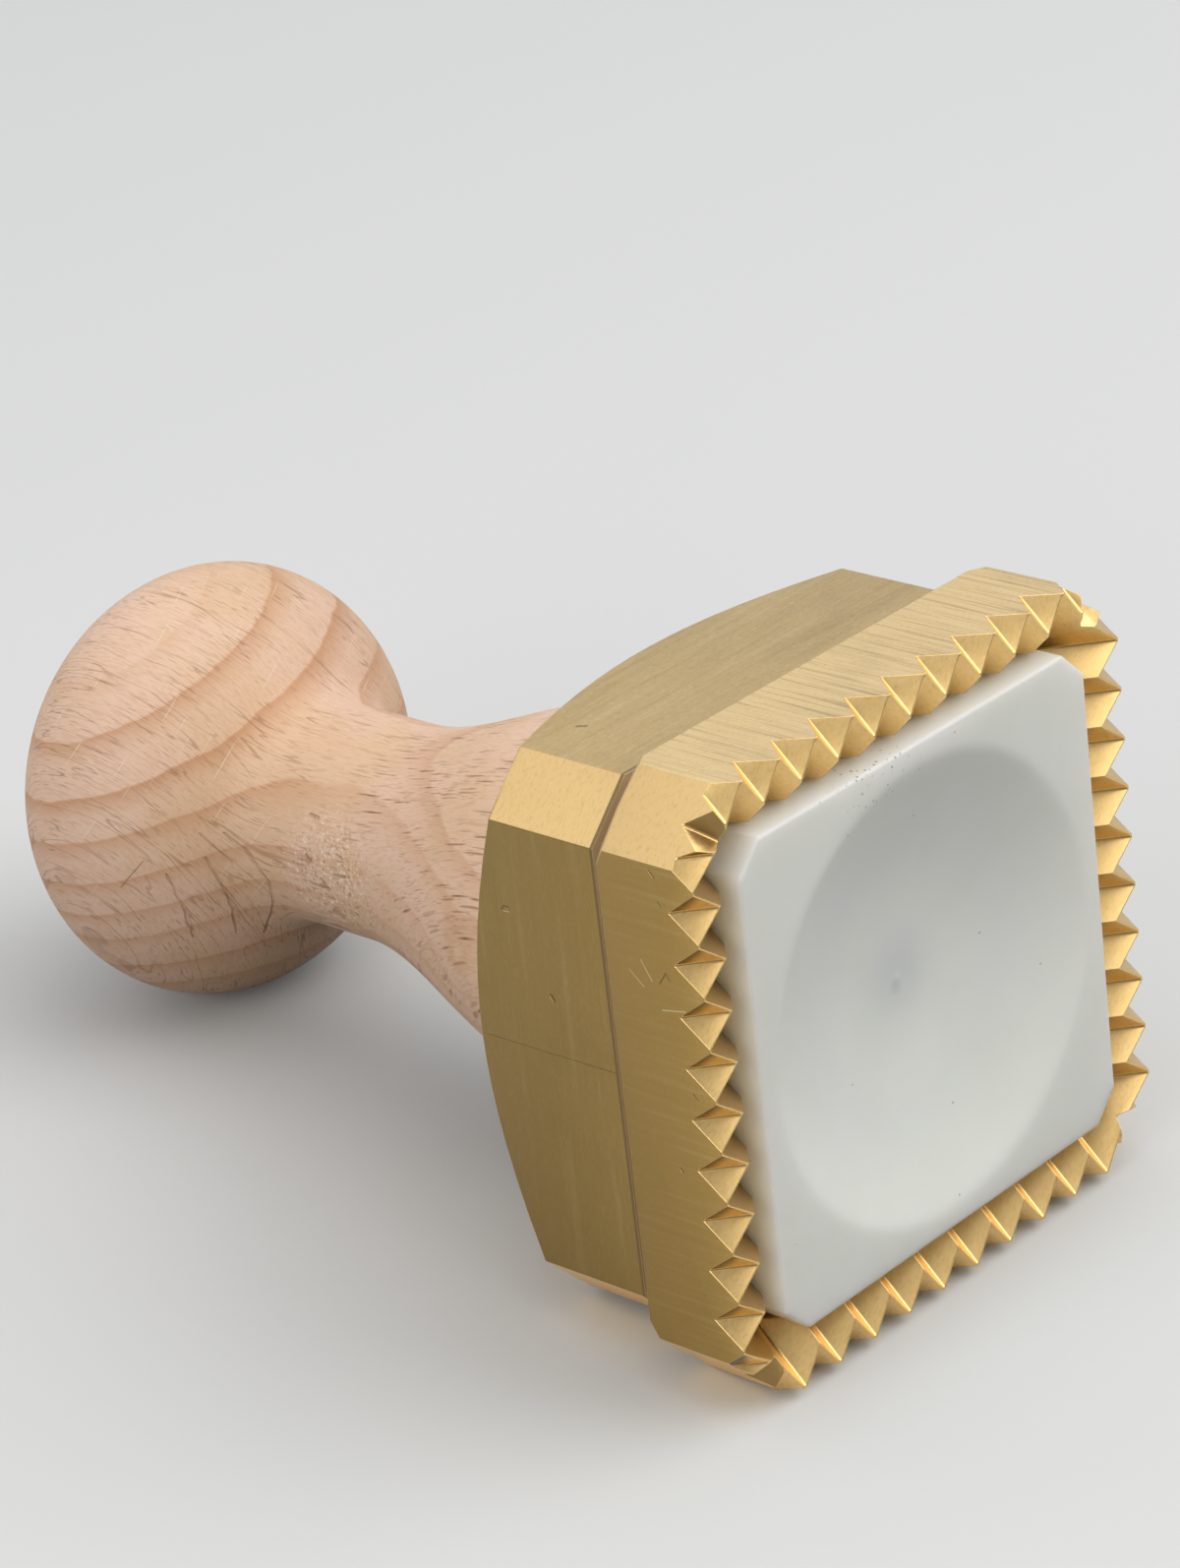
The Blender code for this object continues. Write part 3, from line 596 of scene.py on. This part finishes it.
        colour = recipe.blend(scratches * 0.35, colour, self.torn)
        # painted highlights: pale glints on the torn grain's raised fibres
        torn_glints = recipe.ease(crumbs, 0.56, 0.68) * torn_area * 0.75
        colour = recipe.blend(torn_glints, colour, self.torn)
        hollow = recipe.ease(crumbs, 0.42, 0.32) * torn_area * 0.55
        colour = recipe.blend(hollow, colour, self.vessel)
        patchy = 0.16 + 0.24 * recipe.ease(recipe.noise(place, 800.0, 2.0, 0.6), 0.35, 0.60)
        colour = recipe.blend(cracks.most(blemishes) * patchy, colour, self.vessel)
        relief = (fibre * 0.000014 - vessels * 0.00004 - hair * 0.00001 - cracks * 0.00012
                  - blemishes * 0.00015 + crumbs * torn_area * 0.00010)
        return recipe.finish({
            "Base Color": colour, "Roughness": 0.50 + 0.18 * fibre,
            "Specular IOR Level": 0.35, "Normal": recipe.bump(relief, 0.8)})


@dataclass(frozen=True)
class PlasticFinish:
    """Milky white plastic with flour dust in its pores.

    A reach is where a mask starts and where it is full, and scatter is how far light runs in
    red, green and blue, all in metres.
    """

    name: str = "white_plastic"
    milk: Colour = tint(243, 243, 234)
    shade: Colour = tint(237, 238, 228)
    # lit_wall: painted light, a paler colour for the plate's side walls
    lit_wall: Colour = tint(255, 251, 236)
    green: Colour = tint(150, 165, 152)
    dust: Colour = tint(84, 78, 66)
    dusty_place: Triple = (0.05445, -0.0056, 0.0548)
    gate_place: Triple = (0.04975, -0.0003, 0.0292)
    dusty_reach: Span = (0.0062, 0.0012)
    gate_reach: Span = (0.0011, 0.0002)
    scatter: Triple = (0.0043, 0.0041, 0.0036)

    def make(self) -> bpy.types.Material:
        """Write the material."""
        recipe = Recipe.material(self.name)
        place = recipe.place()
        clouds = recipe.noise(place, 60.0, 3.0)
        grain = recipe.noise(place, 1500.0)
        body = recipe.blend(recipe.ease(clouds, 0.35, 0.7), self.milk, self.shade)
        gate = recipe.ease(recipe.apart(place, self.gate_place), *self.gate_reach)
        lean_x, _, _ = recipe.split(recipe.facing())
        # painted light: the side walls are paler than the face
        body = recipe.blend(recipe.ease(lean_x.magnitude(), 0.6, 0.2), body, self.lit_wall)
        body = recipe.blend(gate * 0.20, body, self.green)
        dusty = recipe.ease(recipe.apart(place, self.dusty_place), *self.dusty_reach)
        few = recipe.ease(recipe.cells(place, 290.0), 0.042, 0.022) * 0.6
        many = recipe.ease(recipe.cells(place, 1500.0), 0.24, 0.14) * dusty
        return recipe.finish({
            "Base Color": recipe.blend(few.most(many) * 0.8, body, self.dust),
            "Roughness": 0.34 + 0.10 * grain,
            "Subsurface Weight": 0.8, "Subsurface Radius": self.scatter,
            "Subsurface Scale": 1.0,
            "Normal": recipe.bump(grain * 0.000006, 0.6)})


@dataclass(frozen=True)
class SteelFinish:
    """Plain bright steel for what is hidden inside."""

    name: str = "steel"
    base: Colour = tint(190, 190, 188)
    dull: Colour = tint(150, 150, 150)

    def make(self) -> bpy.types.Material:
        """Write the material."""
        recipe = Recipe.material(self.name)
        place = recipe.place()
        grain = recipe.noise(place, 1800.0, 3.0, 0.6)
        clouds = recipe.noise(place, 300.0)
        return recipe.finish({
            "Base Color": recipe.blend(recipe.ease(clouds, 0.35, 0.7), self.base, self.dull),
            "Metallic": 1.0, "Roughness": 0.28 + 0.14 * grain,
            "Normal": recipe.bump(grain * 0.000008, 0.7)})


def grid_mesh(name: str, points: np.ndarray) -> bpy.types.Mesh:
    """Make a smooth mesh of a grid of points whose columns close on themselves.

    Row i, column j is joined to row i + 1 and to column j + 1, and the last column to the
    first. The first and last rows are single points repeated, and their faces are triangles.
    """
    rows, columns = points.shape[:2]
    index = np.arange((rows - 2) * columns).reshape(rows - 2, columns)
    after = np.roll(index, -1, axis=1)
    tip = np.full(columns, index.size)
    quads = np.stack((index[:-1], after[:-1], after[1:], index[1:]), axis=-1).reshape(-1, 4)
    front = np.stack((tip, after[0], index[0]), axis=-1)
    back = np.stack((tip + 1, index[-1], after[-1]), axis=-1)
    verts = np.vstack((points[1:-1].reshape(-1, 3), points[0, :1], points[-1, :1]))
    mesh = bpy.data.meshes.new(name)
    mesh.from_pydata(verts.tolist(), [], [*quads.tolist(), *front.tolist(), *back.tolist()])
    mesh.shade_smooth()
    return mesh


def placed(depth: np.ndarray | float, across: np.ndarray, up: np.ndarray) -> np.ndarray:
    """Return points in the frame, from their depth and how far off the axis they are."""
    parts = np.broadcast_arrays(CUTTING_EDGE - depth, across, AXIS_HEIGHT + up)
    return np.stack(parts, axis=-1)


def unit(rows: np.ndarray) -> np.ndarray:
    """Return every row at the length 1."""
    return rows / np.linalg.norm(rows, axis=1, keepdims=True)


def add_object(name: str, data: bpy.types.ID) -> bpy.types.Object:
    """Put new data into the scene."""
    item = bpy.data.objects.new(name, data)
    bpy.context.scene.collection.objects.link(item)
    return item


def add_piece(mesh: bpy.types.Mesh, material: bpy.types.Material, body: str, slot: str,
              *nodes: str) -> bpy.types.Object:
    """Link a piece, dress it, and let it ride on its body in place of its CAD nodes.

    Its mesh lies in the frame's own place. The slot, the record's material slot, is not used.
    """
    piece = add_object(mesh.name, mesh)
    mesh.materials.append(material)
    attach(piece, body)
    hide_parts(*nodes)
    log.info("%s: %d vertices", piece.name, len(mesh.vertices))
    return piece


@dataclass
class BeechHandle:
    """Turned handle: a flare at the brass, a neck, a hollow fillet and a flattened knob.

    Its rows are counted on the rim, the flare, the neck, the fillet and the knob.
    """

    front: float = 0.03547
    front_radius: float = 0.0188
    rim_round: float = 0.0007
    waist_radius: float = 0.0110
    waist_depth: float = 0.0662
    knob_radius: float = 0.0221
    knob_half_length: float = 0.0163
    fillet: float = 0.0057
    length: float = 0.1086
    bore_radius: float = 0.0083
    bore_end: float = 0.0502
    bore_edge: float = 0.0002
    columns: int = 256
    rows: tuple[int, ...] = (7, 61, 14, 18, 72)
    halvings: int = 60

    def knob_meeting(self) -> Triple:
        """Find where the fillet touches the knob's ellipse, by halving.

        The fillet's centre stands the fillet's radius off the ellipse and off the waist.
        What comes back is the ellipse's angle there, the centre's depth and the fillet's sweep.
        """
        low, high = math.pi / 2.0, math.pi
        goal = self.waist_radius + self.fillet
        for _ in range(self.halvings):
            angle = (low + high) / 2.0
            across = math.sin(angle) / self.knob_radius
            back = math.cos(angle) / self.knob_half_length
            size = math.hypot(across, back)
            if self.knob_radius * math.sin(angle) + self.fillet * across / size > goal:
                low = angle
            else:
                high = angle
        depth = (self.length - self.knob_half_length + self.knob_half_length * math.cos(angle)
                 + self.fillet * back / size)
        return angle, depth, math.atan2(-back, across)

    def profile(self) -> np.ndarray:
        """Return the profile's (radius, depth) rows, from the bore's end round to the knob's.

        The flare is the S-curve r = waist + (front - waist) (3 - 2u) u^2, u falling from 1.
        """
        rim_rows, flare_rows, neck_rows, fillet_rows, knob_rows = self.rows
        turn = np.linspace(math.pi / 2.0, 0.0, rim_rows)
        rim = np.column_stack((self.front_radius - self.rim_round * (1.0 - np.cos(turn)),
                               self.front + self.rim_round * (1.0 - np.sin(turn))))
        start = self.front + self.rim_round
        share = np.linspace(0.0, 1.0, flare_rows)[1:]
        rest = 1.0 - share
        flare = np.column_stack((
            self.waist_radius + (self.front_radius - self.waist_radius)
            * (3.0 - 2.0 * rest) * rest ** 2,
            start + share * (self.waist_depth - start)))
        meeting, centre, sweep = self.knob_meeting()
        neck_depth = np.linspace(self.waist_depth, centre, neck_rows)[1:-1]
        neck = np.column_stack((np.full(len(neck_depth), self.waist_radius), neck_depth))
        turn = np.linspace(0.0, sweep, fillet_rows)
        hollow = np.column_stack((self.waist_radius + self.fillet * (1.0 - np.cos(turn)),
                                  centre + self.fillet * np.sin(turn)))
        turn = np.linspace(meeting, 0.0, knob_rows)[1:]
        knob = np.column_stack((
            self.knob_radius * np.sin(turn),
            self.length - self.knob_half_length * (1.0 - np.cos(turn))))
        hole, edge = self.bore_radius, self.bore_edge
        bore = np.array([(0.0, self.bore_end), (hole - edge, self.bore_end),
                         (hole, self.bore_end - edge), (hole, self.front + edge),
                         (hole + edge, self.front),
                         (0.5 * (hole + self.front_radius), self.front)])
        return np.vstack((bore, rim, flare, neck, hollow, knob))

    def build(self, material: bpy.types.Material) -> bpy.types.Object:
        """Turn the profile round the axis and dress it."""
        profile = self.profile()
        angle = np.linspace(0.0, TAU, self.columns, endpoint=False)
        radius, depth = profile[:, 0, None], profile[:, 1, None]
        points = placed(depth, radius * np.cos(angle), radius * np.sin(angle))
        mesh = grid_mesh("beech_handle", points)
        return add_piece(mesh, material, "stamp", "beech", "handle")


@dataclass
class EjectorPlate:
    """White plate with soft edges, a dish, and the hub behind it.

    Depths are from the cutting edge. Its rings are counted over the gate, the rest of the
    dish, the front edge and the back edge.
    """

    half: float = 0.0243
    chamfer: float = 0.0029
    corner_round: float = 0.0005
    edge: float = 0.00032
    back_edge: float = 0.0003
    face: float = -0.0003
    back: float = 0.0055
    dish_radius: float = 0.0222
    dish_depth: float = 0.0047
    dish_softness: float = 0.00010
    hub_radius: float = 0.0125
    hub_back: float = 0.0090
    socket_radius: float = 0.0033
    socket_floor: float = 0.0059
    hub_edge: float = 0.0003
    socket_edge: float = 0.0002
    lip: float = 0.0001
    gate_reach: float = 0.0024
    gate_forms: tuple[Span, ...] = ((-0.00005, 0.0011), (0.00016, 0.00035))
    dish_margin: float = 0.0008
    side_points: tuple[int, int] = (40, 6)
    arc_points: int = 6
    rings: tuple[int, ...] = (9, 56, 7, 5)

    def outline(self) -> tuple[np.ndarray, np.ndarray]:
        """Return the outline's points and its outward normals, one for each column.

        Four long sides at the distance half and four short ones on the diagonals at
        (2 half - chamfer) / sqrt 2 meet in arcs. An arc's centre stands corner_round inside
        both of its sides.
        """
        step = math.pi / 4.0
        ways = [np.array([math.cos(side * step), math.sin(side * step)]) for side in range(9)]
        sizes = (self.half, (2.0 * self.half - self.chamfer) / math.sqrt(2.0))
        centres = []
        for side in range(8):
            reach = np.array([sizes[side % 2], sizes[(side + 1) % 2]]) - self.corner_round
            centres.append(np.linalg.solve(ways[side:side + 2], reach))
        points, normals = [], []
        for side, way in enumerate(ways[:8]):
            start = centres[side - 1] + self.corner_round * way
            end = centres[side] + self.corner_round * way
            share = np.linspace(0.0, 1.0, self.side_points[side % 2])[:, None]
            points.append(start + share * (end - start))
            normals.append(np.broadcast_to(way, points[-1].shape))
            turn = side * step + np.linspace(0.0, step, self.arc_points + 2)[1:-1]
            round_ways = np.column_stack((np.cos(turn), np.sin(turn)))
            points.append(centres[side] + self.corner_round * round_ways)
            normals.append(round_ways)
        return np.vstack(points), np.vstack(normals)

    def dish(self, radius: np.ndarray) -> np.ndarray:
        """Return how deep the dish is at each radius.

        A ball's cap, depth = dish_depth - (R - sqrt(R^2 - r^2)), whose rim fades by
        k log(1 + exp(depth / k)).
        """
        ball = (self.dish_radius ** 2 + self.dish_depth ** 2) / (2.0 * self.dish_depth)
        cap = self.dish_depth - (ball - np.sqrt(np.maximum(ball ** 2 - radius ** 2, 0.0)))
        return self.dish_softness * np.logaddexp(0.0, cap / self.dish_softness)

    def gate(self, radius: np.ndarray) -> np.ndarray:
        """Return the moulding gate's relief: a hollow with a nib, each h exp(-(r / w)^2)."""
        return sum(height * np.exp(-(radius / width) ** 2) for height, width in self.gate_forms)

    def build(self, material: bpy.types.Material) -> bpy.types.Object:
        """Lay the rings from the dish's middle over the edge to the hub and its socket."""
        border, normals = self.outline()
        middle = (self.side_points[0] - 1) / 2.0
        angle = TAU * (np.arange(len(border)) - middle) / len(border)
        circle = np.column_stack((np.cos(angle), np.sin(angle)))
        rings: list[np.ndarray] = []
        gate_rings, dish_rings, front_rings, back_rings = self.rings

        def ring(flat: np.ndarray, depth: float) -> None:
            """Add one ring: its points across the axis and their depth."""
            rings.append(placed(depth, flat[:, 0], flat[:, 1]))

        middle_radii = np.linspace(0.0, self.gate_reach, gate_rings)
        outer_radii = np.linspace(self.gate_reach, self.dish_radius + self.dish_margin,
                                  dish_rings)
        for radius in np.concatenate((middle_radii, outer_radii[1:])):
            ring(circle * radius, self.face + float(self.dish(radius) - self.gate(radius)))
        ring(border - normals * (self.edge + self.lip), self.face)
        for turn in np.linspace(0.0, math.pi / 2.0, front_rings):
            ring(border - normals * self.edge * (1.0 - math.sin(turn)),
                 self.face + self.edge * (1.0 - math.cos(turn)))
        for depth in (self.face + self.edge + self.lip, self.back - self.back_edge - self.lip):
            ring(border, depth)
        for turn in np.linspace(math.pi / 2.0, 0.0, back_rings):
            ring(border - normals * self.back_edge * (1.0 - math.sin(turn)),
                 self.back - self.back_edge * (1.0 - math.cos(turn)))
        hub, edge, end = self.hub_radius, self.hub_edge, self.hub_back
        hole, rim, floor = self.socket_radius, self.socket_edge, self.socket_floor
        for radius, depth in ((hub + edge, self.back), (hub, self.back + edge),
                              (hub, end - edge), (hub - edge, end), (hole + rim, end),
                              (hole, end - rim), (hole, floor), (0.0, floor)):
            ring(circle * radius, depth)
        mesh = grid_mesh("ejector_face_plate", np.stack(rings))
        return add_piece(mesh, material, "ejector", "white_plastic", "ejector_plate")


@dataclass
class EjectorSpring:
    """Coil spring round the stem, with a closed turn at each end.

    It stands between the plate's hub and the bore's floor, and wire is half its thickness.
    What keep says is the share of its length that is left when the plate is pushed back; keep is
    not used.
    """

    coil_radius: float = 0.0080
    wire: float = 0.0006
    turns: float = 6.5
    hub_back: float = 0.0090
    bore_floor: float = 0.0270
    end_gap: float = 0.0003
    climb: float = 0.0018
    steps: int = 48
    sides: int = 12
    keep: float = 0.711

    def build(self, material: bpy.types.Material) -> bpy.types.Object:
        """Carry a circle along the helix, closed at both ends by shrinking to a point."""
        share = np.linspace(0.0, self.turns, round(self.turns * self.steps) + 1)
        knots = [0.0, 1.0, self.turns - 1.0, self.turns]
        front = self.hub_back + self.end_gap + self.wire
        back = self.bore_floor - self.end_gap - self.wire
        depth = np.interp(share, knots, [front, front + self.climb, back - self.climb, back])
        path = placed(depth, self.coil_radius * np.sin(TAU * share),
                      -self.coil_radius * np.cos(TAU * share))
        out = unit((path - (0.0, 0.0, AXIS_HEIGHT)) * (0.0, 1.0, 1.0))
        side = unit(np.cross(unit(np.gradient(path, axis=0)), out))
        turn = np.linspace(0.0, TAU, self.sides, endpoint=False)[:, None]
        points = path[:, None] + self.wire * (np.cos(turn) * out[:, None]
                                              + np.sin(turn) * side[:, None])
        ends = np.broadcast_to(path[[0, -1], None, :], (2, self.sides, 3))
        mesh = grid_mesh("ejector_coil", np.concatenate((ends[:1], points, ends[1:])))
        piece = add_piece(mesh, material, "stamp", "steel", "ejector_spring")
        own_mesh(piece)
        return piece


@dataclass
class BrassPart:
    """A machined brass part: the CAD's own form with its edges just broken.

    The widths are of the body's edges, the teeth's tips and the teeth's roots, and
    teeth_depth is how far the teeth reach, all in metres.
    """

    node: str
    name: str
    edge: float
    fine_edge: float
    root_round: float
    teeth_depth: float
    sharp: float = math.radians(20.0)
    flat: float = math.radians(0.6)
    doubles: float = 2e-6

    @property
    def widest(self) -> float:
        """Return the bevel's width, of which each edge takes its share."""
        return max(self.edge, self.fine_edge, self.root_round)

    def weigh_edges(self, work: bmesh.types.BMesh) -> None:
        """Give each sharp edge its bevel weight. A tooth's is a root where the bend is hollow."""
        layer = work.edges.layers.float.new("bevel_weight_edge")
        for edge in work.edges:
            bend = edge.calc_face_angle_signed()
            if abs(bend) > self.sharp:
                near = max(vert.co.x for vert in edge.verts) > CUTTING_EDGE - self.teeth_depth
                fine = self.root_round if bend < 0.0 else self.fine_edge
                edge[layer] = (fine if near else self.edge) / self.widest

    def build(self, material: bpy.types.Material) -> bpy.types.Object:
        """Copy the CAD mesh without its doubles and its flats' lines, and break its edges.

        The bevel's flats keep their normals.
        """
        mesh = bpy.data.meshes.new(self.name)
        work = bmesh.new()
        work.from_mesh(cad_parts[self.node].data)
        bmesh.ops.remove_doubles(work, verts=work.verts, dist=self.doubles)
        bmesh.ops.dissolve_limit(work, angle_limit=self.flat, verts=work.verts,
                                 edges=work.edges)
        work.normal_update()
        self.weigh_edges(work)
        work.to_mesh(mesh)
        work.free()
        mesh.shade_smooth()
        piece = add_piece(mesh, material, "stamp", "brass", self.node)
        bevel = piece.modifiers.new("broken_edges", "BEVEL")
        bevel.limit_method = "WEIGHT"
        bevel.width = self.widest
        bevel.loop_slide = False
        bevel.segments = 3
        bevel.use_clamp_overlap = False
        bevel.harden_normals = True
        return piece


@dataclass(frozen=True)
class Lamp:
    """A soft square lamp: its middle, its width in metres and its power in watts."""

    name: str
    place: Triple
    width: float
    power: float


@dataclass
class Studio:
    """Pale floor, soft light and the camera at the photograph's angle."""

    camera_place: Triple = (0.322672, -0.311765, 0.241451)
    camera_right: Triple = (0.7403, 0.6635, -0.1084)
    camera_up: Triple = (-0.2054, 0.3768, 0.9032)
    camera_back: Triple = (0.64012747, -0.64638857, 0.41523324)
    lens: float = 118.02
    clip: Span = (0.01, 50.0)
    floor_slope: float = 0.0966
    floor_edge: float = CUTTING_EDGE - 0.0111
    floor_half: float = 3.0
    room_lean: Triple = (-0.30, 0.15, 0.94)
    room_low: float = 0.17
    room_high: float = 0.88
    room: Colour = tint(250, 252, 255)
    beyond: Colour = tint(190, 192, 192)
    floor_lit: Colour = tint(62, 62, 64)
    floor_seen: Colour = tint(208, 208, 206)
    middle: Triple = (0.0, 0.0, AXIS_HEIGHT)
    lamps: tuple[Lamp, ...] = (
        Lamp("overhead", (0.40, 0.15, 0.98), 1.0, 2.8),
        Lamp("front_right", (0.62, 0.52, 0.61), 0.9, 4.5),
        Lamp("window", (0.05, -0.93, 0.30), 0.7, 3.8),
        Lamp("front_left", (0.45, -0.86, 0.20), 0.5, 0.9))

    def camera(self) -> None:
        """Set up the camera."""
        data = bpy.data.cameras.new("photo_camera")
        data.lens = self.lens
        data.sensor_width = 36.0
        data.clip_start, data.clip_end = self.clip
        camera = add_object("photo_camera", data)
        axes = np.eye(4)
        axes[:3] = np.column_stack((self.camera_right, self.camera_up, self.camera_back,
                                    self.camera_place))
        camera.matrix_world = Matrix(axes.tolist())
        bpy.context.scene.camera = camera

    def floor(self) -> None:
        """Lay the floor through the cutter's lower rear edge and under the knob."""
        ends = (-self.floor_half, self.floor_half)
        verts = [(x, y, -self.floor_slope * (x - self.floor_edge)) for x in ends for y in ends]
        mesh = bpy.data.meshes.new("studio_floor")
        mesh.from_pydata(verts, [], [(0, 2, 3, 1)])
        recipe = Recipe.material("studio_floor")
        seen = recipe.rays("Is Camera Ray", "Is Glossy Ray", "Is Transmission Ray")
        colour = recipe.blend(seen, self.floor_lit, self.floor_seen)
        mesh.materials.append(recipe.finish({"Base Color": colour, "Roughness": 0.9,
                                             "Specular IOR Level": 0.1}))
        floor = add_object("studio_floor", mesh)

    def light(self, lamp: Lamp) -> None:
        """Hang one lamp, facing the stamp's middle."""
        data = bpy.data.lights.new(lamp.name, "AREA")
        data.shape = "RECTANGLE"
        data.size = data.size_y = lamp.width
        data.energy = lamp.power
        item = add_object(lamp.name, data)
        item.location = lamp.place
        way = Vector(self.middle) - Vector(lamp.place)
        item.rotation_euler = way.to_track_quat("-Z", "Y").to_euler()

    def world(self) -> None:
        """Fill the room with soft light, dim towards the camera and bright overhead.

        What the camera and clear things see past the floor's end is plain and pale.
        """
        world = bpy.data.worlds.new("studio")
        bpy.context.scene.world = world
        recipe = Recipe(world)
        direction = recipe.node("ShaderNodeTexCoord", output="Generated")
        height = recipe.ease(recipe.along(direction, self.room_lean), -0.05, 0.85)
        strength = self.room_low + (self.room_high - self.room_low) * height
        seen = recipe.rays("Is Camera Ray", "Is Transmission Ray")
        colour = recipe.blend(seen, self.room, self.beyond)
        recipe.close("ShaderNodeOutputWorld", recipe.node("ShaderNodeBackground", sockets={
            "Color": colour, "Strength": strength * (1.0 - seen) + seen}))

    def build(self) -> None:
        """Set the whole stage."""
        self.camera()
        self.floor()
        self.world()
        for lamp in self.lamps:
            self.light(lamp)
        bpy.context.scene.view_settings.view_transform = "Standard"


def dress_steel(material: bpy.types.Material) -> None:
    """Give the hidden steel nodes their finish."""
    screws = [f"frame_screw_{number}" for number in range(1, 5)]
    for name in (*screws, "guide_stem", "stem_washer", "stem_nut"):
        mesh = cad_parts[name].data
        mesh.materials.clear()
        mesh.materials.append(material)
        log.info("%s: steel", name)


def main() -> None:
    """Build the stamp and its studio in order."""
    logging.basicConfig(level=logging.INFO, format="%(name)s: %(message)s")
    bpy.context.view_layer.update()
    BeechHandle().build(BeechFinish().make())
    EjectorPlate().build(PlasticFinish().make())
    steel = SteelFinish().make()
    EjectorSpring().build(steel)
    dress_steel(steel)
    BrassPart("cutter_frame", "toothed_cutter", edge=0.00014, fine_edge=0.00006,
              root_round=0.00025, teeth_depth=0.0062).build(BrassFinish.of_cutter().make())
    BrassPart("rear_block", "block_behind_cutter", edge=0.00016, fine_edge=0.00016,
              root_round=0.00016, teeth_depth=0.0).build(BrassFinish.of_block().make())
    Studio().build()


if __name__ == "__main__":
    main()
